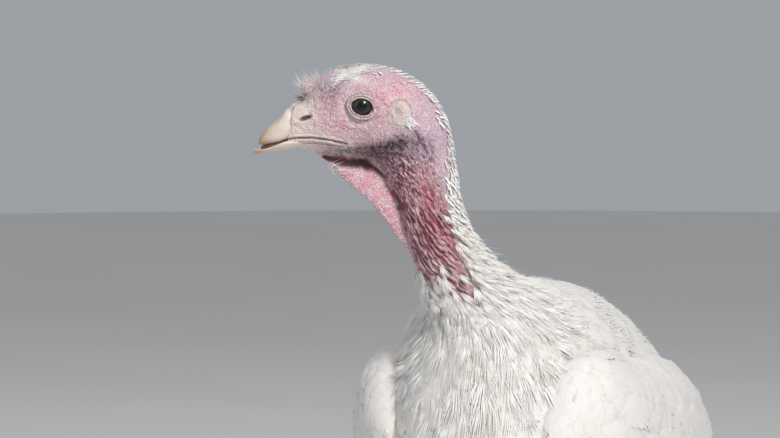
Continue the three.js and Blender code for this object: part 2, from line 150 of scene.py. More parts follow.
# the folded left wing, a pad against her side: middle, half width, height above and below
WING_ROWS = [
    (48, -82, 344, 1, 1.2, 1.2),
    (50, -76, 344, 9, 12, 14),
    (53, -62, 344, 19, 35, 36),
    (57, -36, 339, 26, 50, 54),
    (59, 15, 332, 27, 48, 61),
    (59, 75, 325, 25, 48, 63),
    (57, 135, 315, 22, 46, 57),
    (52, 195, 302, 18, 36, 45),
    (47, 250, 289, 12, 24, 31),
    (43, 295, 279, 7, 15, 19),
    (39, 325, 273, 3, 6, 8),
]
WING_SECTIONS = [[*row[:3], 0, 0, *row[3:], 2.2, 0] for row in WING_ROWS]
TAIL_SECTIONS = trunk_sections([
    (262, 306, 0, -22, 26, 16, 16, 2.2, 0),
    (300, 293, 0, -22, 33, 17, 17, 2.2, 0),
    (350, 273, 0, -22, 40, 13, 13, 2.3, 0),
    (410, 249, 0, -22, 47, 9, 9, 2.4, 0),
    (460, 229, 0, -22, 51, 6, 6, 2.5, 0),
    (492, 216, 0, -22, 44, 4, 4, 2.5, 0),
    (502, 212, 0, -22, 26, 2, 2, 2.3, 0),
])


def leg_section(x, y, z, tilt, half, deep):
    """A round section of a leg."""
    return [x, y, z, 0, tilt, half, deep, deep, 2.1, 0]


THIGH_SECTIONS = [
    leg_section(46, 74, 262, 80, 30, 44),
    leg_section(52, 82, 225, 76, 34, 50),
    leg_section(56, 94, 190, 70, 29, 41),
    leg_section(59, 107, 160, 68, 20, 27),
    leg_section(60, 116, 139, 72, 12, 14),
    leg_section(60, 119, 120, 84, 9.5, 10.5),
]


# ---- Shape functions ----
def ramp(x, low, high):
    """0 below low and 1 above high, smoothly."""
    t = np.clip((x - low) / (high - low), 0, 1)
    return t * t * (3 - 2 * t)


def bell(x, width):
    """1 at nought, falling smoothly away over a width."""
    return np.exp(-((x / width) ** 2))


def signed_power(x, power):
    return np.sign(x) * np.abs(x) ** power


def noise(points, size, seed=0):
    """Smooth noise from -1 to 1 over points, its bumps about size across."""
    scaled = np.asarray(points, float) / size + 57.3 * (seed + 1)
    cell = np.floor(scaled).astype(np.int64)
    share = scaled - cell
    share = share * share * (3 - 2 * share)
    total = np.zeros(len(scaled))
    for corner in np.ndindex(2, 2, 2):
        x, y, z = (cell + corner).T
        mixed = (x * 73856093) ^ (y * 19349663) ^ (z * 83492791) ^ (seed * 40503 + 977)
        mixed = ((mixed ^ (mixed >> 13)) * 1274126177) & 0x7FFFFFFF
        weight = np.prod(np.where(corner, share, 1 - share), axis=1)
        total += weight * (mixed / 0x3FFFFFFF - 1)
    return total


def to_line(points, line):
    """How far flat points are from a run of straight lines, and how far along it is the nearest point."""
    line = np.asarray(line, float)
    best = np.full(len(points), 1e9)
    share = np.zeros(len(points))
    for i, (a, b) in enumerate(zip(line[:-1], line[1:])):
        t = np.clip((points - a) @ (b - a) / ((b - a) @ (b - a)), 0, 1)
        distance = np.linalg.norm(points - a - t[:, None] * (b - a), axis=1)
        nearer = distance < best
        best = np.where(nearer, distance, best)
        share = np.where(nearer, (i + t) / (len(line) - 1), share)
    return best, share


def from_top(around):
    """The angle from the top of a form, alike on both sides."""
    return np.abs(np.where(around > math.pi, TAU - around, around))


def unit(vectors):
    return vectors / np.maximum(np.linalg.norm(vectors, axis=-1, keepdims=True), 1e-9)


class Loft:
    """A closed form through sections. A place along counts sections; a place around is an angle from the top,
    growing towards her left."""

    def __init__(self, sections, mirrored=False):
        self.table = np.array(sections, float)
        self.mirrored = mirrored
        self.end = len(sections) - 1
        self.girth = TAU  # what places around run over
        self.beyond = self.table[-1, :3] - self.table[-2, :3]  # a step past the end
        self.taper = 0.0  # how much of its girth it loses in such a step

    def section(self, along):
        """The section at each place, every measure interpolated; past the end it runs straight on."""
        past = np.maximum(along - self.end, 0)[:, None]
        along = np.clip(along, 0, self.end)
        i = np.minimum(np.floor(along).astype(int), self.end - 1)
        u = (along - i)[:, None]
        a, b, c, d = (self.table[np.clip(i + k, 0, self.end)] for k in (-1, 0, 1, 2))
        cubic = 2 * a - 5 * b + 4 * c - d
        found = 0.5 * (2 * b + (c - a) * u + cubic * u**2 + (3 * b - a - 3 * c + d) * u**3)
        found[:, :3] += past * self.beyond
        found[:, 5:8] *= np.maximum(1 - self.taper * past, 0.08)
        return found

    def points(self, along, around, grow=0.0):
        """Points of the surface, grown outwards by some millimetres."""
        s = self.section(along)
        turn, tilt, half, top, bottom, power, pinch = s[:, 3:].T
        side = leftward(turn)
        back = -heading(turn) * np.sin(np.radians(tilt))[:, None]
        back[:, 2] += np.cos(np.radians(tilt))
        rise = signed_power(np.cos(around), 2 / power)
        reach = signed_power(np.sin(around), 2 / power) * (1 + np.minimum(0, rise) * pinch)
        tall = np.where(rise > 0, top, bottom)
        found = s[:, :3] + side * (reach * (half + grow))[:, None] + back * (rise * (tall + grow))[:, None]
        if self.mirrored:
            found[:, 0] *= -1
        return found

    def metric(self, along, around):
        """How many millimetres a step along and a radian around are, and the outward normal."""
        step = 0.01
        low = np.clip(along - step, 0, self.end)
        high = np.clip(along + step, 0, self.end)
        d_along = (self.points(high, around) - self.points(low, around)) / (high - low)[:, None]
        d_around = self.points(along, around + step) - self.points(along, around - step)
        d_around /= 2 * step
        normal = unit(np.cross(d_along, d_around)) * (1 if self.mirrored else -1)
        return np.linalg.norm(d_along, axis=1), np.linalg.norm(d_around, axis=1), normal

    def run(self, along, steps):
        """Millimetres along the middle of the form to each place, measured in so many places."""
        places = np.linspace(0, self.end, steps)
        strides = np.linalg.norm(np.diff(self.section(places)[:, :3], axis=0), axis=1)
        return np.interp(along, places, np.concatenate([[0], np.cumsum(strides)]))

    def grid(self, rows, count):
        """Even rows of places along and around, with the points and outward normals there."""
        along = np.repeat(np.linspace(0, self.end, rows), count)
        around = np.tile(np.arange(count) * TAU / count, rows)
        return along, around, self.points(along, around), self.metric(along, around)[2]


BODY = Loft(BODY_SECTIONS)
BODY.beyond, BODY.taper = np.array([0, 24, -10]), 0.5  # the rump's last feathers lean down onto the tail
WING = {"left": Loft(WING_SECTIONS), "right": Loft(WING_SECTIONS, mirrored=True)}
for folded in WING.values():
    folded.taper = 0.6
THIGH = {"left": Loft(THIGH_SECTIONS), "right": Loft(THIGH_SECTIONS, mirrored=True)}
SIDES = {"left": 1, "right": -1}


# ---- Meshes ----
def triangles_between(first, second, start_first, start_second):
    """Triangles between two rings, where the second has as many points as the first or half as many."""
    i = np.arange(second)
    j = (i + 1) % second
    if first == second:
        a, b, c, d = start_first + i, start_first + j, start_second + j, start_second + i
        return np.concatenate([np.stack([a, b, c], 1), np.stack([a, c, d], 1)])
    a, b, c = start_first + 2 * i, start_first + 2 * i + 1, start_first + (2 * i + 2) % first
    d, e = start_second + i, start_second + j
    return np.concatenate([np.stack([a, b, d], 1), np.stack([b, c, e], 1), np.stack([b, e, d], 1)])


def tube(rings):
    """A closed surface through rings of points, drawn to a middle point at both ends and facing out."""
    counts = [len(ring) for ring in rings]
    starts = np.cumsum([0] + counts)
    faces = [
        triangles_between(counts[k], counts[k + 1], starts[k], starts[k + 1]) for k in range(len(rings) - 1)
    ]
    points = np.concatenate([*rings, [rings[0].mean(0)], [rings[-1].mean(0)]])
    for ring, middle, back in ((0, starts[-1], True), (len(rings) - 1, starts[-1] + 1, False)):
        p = starts[ring] + np.arange(counts[ring])
        q = starts[ring] + (np.arange(counts[ring]) + 1) % counts[ring]
        cap = np.stack([np.full(counts[ring], middle), q if back else p, p if back else q], 1)
        faces.append(cap)
    return outward(points, np.concatenate(faces))


def nearest_of(known, points):
    """Which of the known points is nearest to each point."""
    tree = kdtree.KDTree(len(known))
    for i, point in enumerate(known):
        tree.insert(point, i)
    tree.balance()
    return np.array([tree.find(point)[1] for point in points])


def signed_volume(points, faces):
    a, b, c = (points[faces[:, k]] for k in range(3))
    return np.einsum("ij,ij->i", a, np.cross(b, c)).sum() / 6


def outward(points, faces):
    """The same closed surface with its faces pointing out."""
    return points, (faces if signed_volume(points - points.mean(0), faces) > 0 else faces[:, ::-1])


def merged(parts):
    """Several surfaces as one list of points and faces."""
    starts = np.cumsum([0] + [len(points) for points, _ in parts])
    return np.concatenate([p for p, _ in parts]), np.concatenate([f + s for (_, f), s in zip(parts, starts)])


def build(name, points, faces, material=None, sharp=None, values=None, bake_map=None):
    """A mesh object in the frame, from points in millimetres and triangles. values are numbers or directions
    kept at each point, and bake_map a place on the OFBake map for each corner of each face."""
    mesh = bpy.data.meshes.new(name)
    mesh.vertices.add(len(points))
    mesh.vertices.foreach_set("co", ((points + OFFSET) * MM).astype(np.float32).ravel())
    mesh.loops.add(faces.size)
    mesh.loops.foreach_set("vertex_index", faces.astype(np.int32).ravel())
    mesh.polygons.add(len(faces))
    mesh.polygons.foreach_set("loop_start", np.arange(0, faces.size, 3, dtype=np.int32))
    mesh.update(calc_edges=True)
    mesh.shade_smooth()
    for key, value in (values or {}).items():
        value = np.broadcast_to(np.asarray(value, np.float32), len(points))
        mesh.attributes.new(key, "FLOAT", "POINT").data.foreach_set("value", np.ascontiguousarray(value))
    if bake_map is not None:
        mesh.uv_layers.new(name="OFBake").uv.foreach_set("vector", bake_map.astype(np.float32).ravel())
    if sharp is not None:
        mesh.set_sharp_from_angle(angle=math.radians(sharp))
    if material is not None:
        mesh.materials.append(material)
    piece = bpy.data.objects.new(name, mesh)
    bpy.context.scene.collection.objects.link(piece)
    return piece


def finished(piece, replaced=()):
    """The piece rides on the one body and stands for its nodes, which are hidden."""
    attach(piece, "root")
    if replaced:
        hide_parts(*replaced)
    return piece


def arrays_of(piece):
    """The points in millimetres and the triangles of an object's mesh."""
    mesh = piece.data
    mesh.calc_loop_triangles()
    points = np.zeros(len(mesh.vertices) * 3)
    mesh.vertices.foreach_get("co", points)
    faces = np.zeros(len(mesh.loop_triangles) * 3, np.int32)
    mesh.loop_triangles.foreach_get("vertices", faces)
    return points.reshape(-1, 3) / MM - OFFSET, faces.reshape(-1, 3)


def combined(first, second, operation):
    """Two closed surfaces joined or cut, as points and faces."""
    pieces = [build(f"work_{i}", *part) for i, part in enumerate((first, second))]
    cut = pieces[0].modifiers.new("cut", "BOOLEAN")
    cut.operation = operation
    cut.solver = "MANIFOLD"
    cut.object = pieces[1]
    evaluated = pieces[0].evaluated_get(bpy.context.evaluated_depsgraph_get())
    made = bpy.data.meshes.new_from_object(evaluated)
    holder = bpy.data.objects.new("work_result", made)
    points, faces = arrays_of(holder)
    for piece in (*pieces, holder):
        mesh = piece.data
        bpy.data.objects.remove(piece)
        bpy.data.meshes.remove(mesh)
    if not len(faces):
        raise RuntimeError(f"joining surfaces by {operation} left nothing")
    return points, faces


# ---- The skin ----
EYE_OPENING = {"middle": (0.4, -0.3), "radii": (5.8, 4.4), "tilt": -14}
EAR = {"middle": (-20.4, -4.4), "radii": (6.5, 7.8), "side": 20.9, "rise": 2.4}
# lines on the side of the head, each point ahead and above of the eye's middle
MOUTH_LINE = [(46, -19.9), (38, -18.2), (29, -17.8), (20, -18.7), (13, -20.2), (8, -21.3)]
JAW_FOLD = [(34, -21.2), (27, -20.9), (20, -21.6), (14, -22.6)]
NOSTRIL = {"middle": (32.2, -6.9), "radii": (4.2, 1.4), "tilt": 19}
NOSTRIL_GROOVE = [(35.6, -8.7), (38.4, -11.2)]
FLAP = {"middle": (35.8, -5.6), "radii": (6.2, 7.2)}
BROW_STREAK = {"middle": (8, 17.5), "radii": (9, 1.8), "tilt": -24}
NECK_CREASE = [
    (-27.6, -10.6), (-29.2, -14), (-30.7, -16.7), (-32.2, -20.3),
    (-34.3, -22.9), (-36.4, -28.2), (-37.4, -33),
]
THROAT_CREASE = [
    (22, -29), (12, -32), (-1, -32.6), (-8.6, -37.4), (-15.4, -47), (-20.8, -57.5), (-25, -71), (-27, -81),
]
CARUNCLES = [(-44.7, -54.6), (-46.6, -58), (-45.9, -64.8), (-49.4, -66.5)]
FLAP_EDGE = [(39.4, -1.2), (40.8, -5.2), (41.5, -8.7), (41.3, -11.2), (40, -12.8)]
# the main run of the skin: where each stretch starts and ends, its rows and its points round each row
SKIN_RUN = [(0, 9.5, 140, 256), (9.5, 14.5, 150, 256), (14.5, 17, 46, 128), (17, BODY_END, 60, 64)]


def flat_oval(places, oval):
    """How far flat points are from an oval's middle, counted in its radii, and their direction from it."""
    tilt = math.radians(oval.get("tilt", 0))
    x, y = (places - np.array(oval["middle"])).T
    x, y = x * math.cos(tilt) - y * math.sin(tilt), x * math.sin(tilt) + y * math.cos(tilt)
    x, y = x / oval["radii"][0], y / oval["radii"][1]
    return np.hypot(x, y), np.arctan2(y, x)


def round_the_eye(flat, wider):
    """How far flat points are from the eye's middle, counted in the radii of its opening made wider."""
    rx, ry = EYE_OPENING["radii"]
    return flat_oval(flat, {**EYE_OPENING, "radii": (rx + wider, ry + wider)})[0]


def wrinkles(points, along, around, stretch, size, seed):
    """Long folds of the neck's skin, 0 in a furrow and 1 on a ridge; they drift back as they run down."""
    across = NECK_RADIUS * (from_top(around) + 0.13 * along) + 1.1 * noise(points, 6, seed + 7)
    laid = np.stack([across, BODY.run(along, 261) / stretch, 40.0 * (around > math.pi)], 1)
    return np.clip(0.5 + 0.85 * noise(laid, size, seed), 0, 1)


def fold_places(along, around):
    """Places across and down the small folds of the neck's skin; further down they run longer."""
    places = np.linspace(0, BODY_END, 261)
    stretch = np.interp(places[1:], [9.5, 13], [2.0, 6.5])
    down = np.concatenate([[0], np.cumsum(np.diff(BODY.run(places, 261)) / stretch)])
    return NECK_RADIUS * from_top(around) + 2.2 * along, np.interp(along, places, down)


def bare_neck(flat, along, around):
    """How bare and furrowed the neck is, and how far round its front a point is, each from 0 to 1."""
    low = np.maximum(ramp(below_jaw(flat), 3, 9), ramp(along, 9.8, 11.3))
    turn = from_top(around)
    edge = 0.75 - 0.35 * ramp(along, 11.5, 13)
    front = ramp(turn, edge, edge + 0.5)
    return low * (0.22 + 0.78 * front) * (1 - 0.6 * ramp(along, 15, 16.5)), front


def below_jaw(flat):
    """Millimetres under the line from the mouth's corner to the back of the ear."""
    forward, above = flat.T
    return (-23 + (5 - forward) * 0.333) - above


def throat_crease(placed):
    """How far points are from the hollow between jaw or neck and dewlap, counted in its half widths, and how
    deep it is there: 1, or 0 past its end."""
    leaning = placed[:, [0, 2]] - np.outer(np.abs(placed[:, 1]), (0, 0.075))
    away, share = to_line(leaning, THROAT_CREASE)
    wide = np.interp(share, [0, 0.12, 0.3, 0.42, 0.6, 1], [1.5, 3.1, 3.1, 1.7, 1.2, 0.9])
    return (away + 0.4 * noise(placed, 3.5, 17)) / wide, 1 - ramp(share, 0.85, 1.0)


def head_measures(points, along):
    """The points from between the eyes, their flat places on the side of the head, how far to the side they
    are, and how much each belongs to the side of the head and to the head."""
    placed = in_head(points)
    side = np.abs(placed[:, 1])
    return placed, placed[:, [0, 2]], side, ramp(side, 3, 7), 1 - ramp(along, 8.5, 10.5)


def spot(flat, middle, radius, wide=1.0, high=1.0):
    """1 at a place on the side of the head, falling away round it."""
    x, y = ((flat - middle) / (wide, high)).T
    return bell(np.hypot(x, y), radius)


def skin_relief(points, along, around, furrows):
    """The rise of the skin over its plain form in millimetres, and how far each point is up a ridge, the
    latter also lowered as painted shade towards the neck's front, along its crease and in the throat's
    hollow.
    """
    placed, flat, side, on_side, on_head = head_measures(points, along)
    forward, above = flat.T
    face = on_head * (1 - ramp(below_jaw(flat), 0, 5))

    rise = 0.26 * face * noise(points, 2.6, 1) + 0.20 * face * noise(points, 1.1, 2)
    # the hollow round the lids, the brow and the cheek
    lid = round_the_eye(flat, 3.6)
    rise += on_head * on_side * (-0.4 * bell(lid - 1.05, 0.14) + 0.5 * bell(lid - 1.5, 0.25))
    crows_feet = np.sin(lid * 17 + 1.5 * noise(points, 4, 3))
    behind = ramp(-forward, -2, 6)
    rise += 0.07 * behind * on_head * on_side * ramp(lid, 1.1, 1.3) * (1 - ramp(lid, 1.5, 2.0)) * crows_feet

    # the mouth, its two lips and the fold of the jaw
    away, share = to_line(flat, MOUTH_LINE)
    open_jaw = on_head * on_side * (1 - ramp(share, 0.93, 1.0))
    lips = bell(away - 1.25, 0.55) * (1 - ramp(share, 0.8, 1.0))
    rise += open_jaw * (-1.2 * bell(away, 0.42) + 0.55 * lips)
    fold, _ = to_line(flat, JAW_FOLD)
    rise += -0.45 * on_head * on_side * bell(fold, 0.5)

    # the flap over the nostril, its edge and the nostril itself
    flap, _ = flat_oval(flat, FLAP)
    rise += on_head * ramp(side, 1.5, 4) * 0.75 * (1 - ramp(flap, 0.55, 1.0))
    edge, _ = to_line(flat, NOSTRIL_GROOVE)
    rise += -0.35 * on_head * on_side * bell(edge, 0.5)
    nostril, _ = flat_oval(flat, NOSTRIL)
    rise += -2.4 * on_head * on_side * (1 - ramp(nostril, 0.5, 1.15))
    flap_edge, _ = to_line(flat, FLAP_EDGE)
    rise += -0.6 * on_head * ramp(side, 0.5, 2) * bell(flap_edge, 0.42)
    rise += -0.4 * on_head * ramp(forward, 38.5, 42)

    # furrows: a net under the jaw, long folds down the neck, and soft bumps at its back
    turn = from_top(around)
    bare, front = bare_neck(flat, along, around)
    longer = ramp(along, 9.5, 12.5)
    net = wrinkles(points, along, around, 1.9, 0.85, 11)
    folds = wrinkles(points, along, around, 4.6, 0.85, 12)
    fine = wrinkles(points, along, around, 2.6, 0.65, 13)
    ridge = net * (1 - longer) + folds * longer
    depth = 1.1 + 0.6 * longer
    rise += furrows * bare * (depth * (ridge - 0.6) + 0.55 * (fine - 0.5))
    # low relief takes the furrow colour: the redder skin of the furrows with painted shade in them; the last
    # term deepens it towards the neck's front as painted shade
    relief = 1 - bare * (1 - np.clip(0.75 * ridge + 0.4 * fine - 0.22 * ramp(turn, 1.3, 2.4), 0, 1))
    for middle in CARUNCLES:
        bead = spot(flat, middle, 1.8) * on_side
        rise += 1.5 * bead
        relief = np.maximum(relief, bead)

    crease, share = to_line(flat, NECK_CREASE)
    crease = on_side * bell(crease, 0.75) * np.sin(np.pi * np.clip(share * 0.9 + 0.1, 0, 1))
    rise += -1.5 * crease * (1 - ramp(along, 10.5, 11.5))
    # painted shade along the neck's crease
    relief = np.minimum(relief, 1 - 0.95 * crease)
    throat, hollow = throat_crease(placed)
    hollow = hollow * (1 - ramp(along, 13, 14))
    hollow = hollow * (1 - 0.7 * ramp(-above, 42, 60))
    rise += -1.6 * hollow * bell(throat, 1.0)
    # painted shade in the hollow between throat and dewlap
    relief = np.minimum(relief, 1 - 0.9 * bell(throat, 0.95) * hollow)
    # blunt warts on the nape and the back of the neck
    warts = np.maximum(0, noise(points, 2.4, 21)) * ramp(along, 7.5, 9)
    rise += 0.9 * (warts * (1 - front) * (1 - ramp(along, 13, 15)))
    return rise, relief


def body_tube(furrows):
    """The main run of the skin from the bill's root to the root of the tail, with what each point is."""
    rings, facts = [], []
    for start, end, rows, count in SKIN_RUN:
        places = np.linspace(start, end, rows, endpoint=end == BODY_END)
        around = np.tile(np.arange(count) * TAU / count, rows)
        along = np.repeat(places, count)
        plain = BODY.points(along, around, -coat_depth(along))
        _, _, normal = BODY.metric(along, around)
        rise, relief = skin_relief(plain, along, around, furrows)
        points = plain + normal * rise[:, None]
        rings += np.split(points, rows)
        facts += [np.stack([along, around, relief], 1)]
    return tube(rings), np.concatenate(facts + [[[0, 0, 1]], [[BODY_END, 0, 1]]])


def oval_ring(side, offsets, depths):
    """Rings round the opening of an eye, at some distances out from its edge and places to her side."""
    turn = np.arange(96) * TAU / 96
    tilt = math.radians(EYE_OPENING["tilt"])
    (mx, my), (rx, ry) = EYE_OPENING["middle"], EYE_OPENING["radii"]
    corner = 1 + 0.10 * np.abs(np.cos(turn)) ** 8
    rings = []
    for k, (offset, depth) in enumerate(zip(offsets, depths)):
        wave = 0.16 * np.sin(turn * 23 + k * 1.3) + 0.12 * np.sin(turn * 41 + k * 2.1)
        wave = wave * (0.4 < offset < 2.9) * (0.55 + 0.45 * np.sin(turn * 3 + 1))
        x, y = (rx * corner + offset) * np.cos(turn), (ry + offset) * np.sin(turn)
        x, y = x * math.cos(tilt) + y * math.sin(tilt), -x * math.sin(tilt) + y * math.cos(tilt)
        # the ring lies against the globe, so that it falls back towards its corners
        settle = 0.035 * np.maximum(0, x * x * 0.6 - 12)
        out = depth + wave - settle
        rings.append(head_point(np.stack([mx + x, side * out, my + y], 1)))
    return rings


def eyelids(side):
    """The swollen ring of lids round one eye."""
    offsets = [-0.1, -0.05, 0.25, 0.6, 0.95, 1.35, 1.75, 2.15, 2.5, 2.8, 3.1, 3.2, 2.0, 0.6]
    depths = [15.5, 18.9, 19.85, 20.4, 20.2, 19.45, 20.2, 20.5, 20.1, 19.3, 18.2, 15.5, 14.8, 14.8]
    rings = oval_ring(side, offsets, depths)
    count = len(rings[0])
    starts = np.arange(len(rings)) * count
    faces = [
        triangles_between(count, count, starts[k], starts[(k + 1) % len(rings)]) for k in range(len(rings))
    ]
    return outward(np.concatenate(rings), np.concatenate(faces))


def eye_hole(side):
    """What is cut out of the head for one eye: its socket, open in front."""
    rings = oval_ring(side, [-3, 1.2, 1.8, 0.02, 0.02, 0.5], [8, 10.5, 15.5, 18.2, 19.6, 22.5])
    return tube(rings)


def oval_dome(side, oval):
    """A low dome on the side of the head."""
    rings = []
    turn = np.arange(48) * TAU / 48
    for share in np.linspace(0.02, 1, 14):
        x = oval["middle"][0] + oval["radii"][0] * share * np.cos(turn)
        y = oval["middle"][1] + oval["radii"][1] * share * np.sin(turn)
        height = oval["side"] + oval["rise"] * math.sqrt(max(0, 1 - share**2)) - 1.2 * share**6
        laid = np.stack([x, y, 0 * x], 1)
        bumps = 0.35 * noise(laid, 2.0, 5) + 0.2 * noise(laid, 1, 6)
        rings.append(head_point(np.stack([x, side * (height + bumps), y], 1)))
    inner = head_point(np.stack([x, side * (oval["side"] - 6) + 0 * x, y], 1))
    return tube([*rings, inner])


def snood():
    """The short fleshy snood over the bill, wrinkled across and leaning forward."""
    loft = Loft(head_sections([
        (22, 5.2, 0, T, 12, 6.8, 8.4, 8, 2, 0),
        (27, 7.4, 0, T, 16, 6.0, 6.6, 6.6, 2, 0),
        (30.6, 8.9, 0, T, 14, 5.3, 5.4, 5.2, 2, 0),
        (33.4, 9.6, 0, T, 0, 4.1, 4, 4, 2, 0),
        (35.2, 9.5, 0, T, -10, 1.9, 1.8, 1.8, 2, 0),
    ]))
    along, _, points, normal = loft.grid(34, 48)
    folds = 0.22 * np.sin(along * 9 + 2 * noise(points, 4, 9)) + 0.35 * noise(points, 1.6, 8)
    return tube(np.split(points + normal * folds[:, None], 34))


# the hem and the root of the dewlap, each ahead and above, and half its thickness
DEWLAP_ROWS = [
    [(27, -26.5), (14, -20), 1.4],
    [(17.8, -34.3), (2, -22), 2],
    [(9.2, -43.2), (-12, -27), 2.3],
    [(-1.2, -52), (-24, -38), 2.4],
    [(-10.5, -62.5), (-30, -50), 2.4],
    [(-19.2, -74.3), (-34, -66), 2.2],
    [(-25, -83.4), (-38, -77), 1.8],
]

HEM = [hem for hem, _, _ in DEWLAP_ROWS]


def dewlap_loft():
    """The plain form of the curtain of skin from the chin down the front of the neck."""
    rows = []
    for i, (hem, root, thick) in enumerate(DEWLAP_ROWS):
        across = (hem[0] - root[0], root[1] - hem[1])
        reach = math.hypot(*across) / 2
        middle = ((hem[0] + root[0]) / 2, (hem[1] + root[1]) / 2, -4 * max(0, (i - 3) / 3) ** 2)
        lean = math.degrees(math.atan2(*across))
        rows.append((*middle, T - 2 * i, lean, thick, reach, reach, 2.6, 0))
    return Loft(head_sections(rows))


def dewlap():
    """The curtain of bare skin, its hem in small bumps."""
    _, around, points, normal = dewlap_loft().grid(130, 48)
    hem = ramp(-np.cos(around), 0.75, 1.0)
    rise = 0.16 * noise(points, 1.3, 31) + 0.3 * noise(points, 9, 32) + 0.45 * hem * noise(points, 2.2, 33)
    throat, hollow = throat_crease(in_head(points))
    rise -= 0.7 * bell(throat, 0.9) * hollow
    return tube(np.split(points + normal * rise[:, None], 130))


def plain_lobe(loft, places, depth):
    """A smooth form under the coat, some way inside a loft."""
    around = np.tile(np.arange(40) * TAU / 40, len(places))
    inside = np.minimum(depth, 0.45 * loft.section(places)[:, 5])
    points = loft.points(np.repeat(places, 40), around, -np.repeat(inside, 40))
    return tube(np.split(points, len(places)))


# which part of the skin a point belongs to: the main run, or one of those joined to it in this order
MAIN, DEWLAP, SNOOD, LIDS, EARS = 0, 1, 2, (3, 5), (4, 6)
HEAD_PLACE = 9.0  # the place along that stands for all of a joined part


def skin_surface(furrows):
    """The one skin as points and faces, with the places along, around and the relief at each point."""
    (points, faces), facts = body_tube(furrows)
    extras = [dewlap(), snood()]
    for side in SIDES.values():
        extras += [eyelids(side), oval_dome(side, EAR)]
    lobes = [plain_lobe(WING[name], np.linspace(0.25, 7.5, 32), 8) for name in SIDES]
    legs = [plain_lobe(THIGH[name], np.linspace(0, 4.9, 24), 4) for name in SIDES]
    known = np.concatenate([points] + [p for p, _ in extras])
    kind = np.repeat(np.arange(len(extras) + 1), [len(points)] + [len(p) for p, _ in extras])
    known_facts = np.concatenate([facts, np.tile([HEAD_PLACE, 0, 1], (len(known) - len(facts), 1))])
    made = combined((points, faces), merged(extras + lobes), "UNION")
    made = combined(made, merged(legs), "UNION")
    made = combined(made, merged([eye_hole(side) for side in SIDES.values()]), "DIFFERENCE")
    nearest = nearest_of(known, made[0])
    return made, known_facts[nearest], kind[nearest]


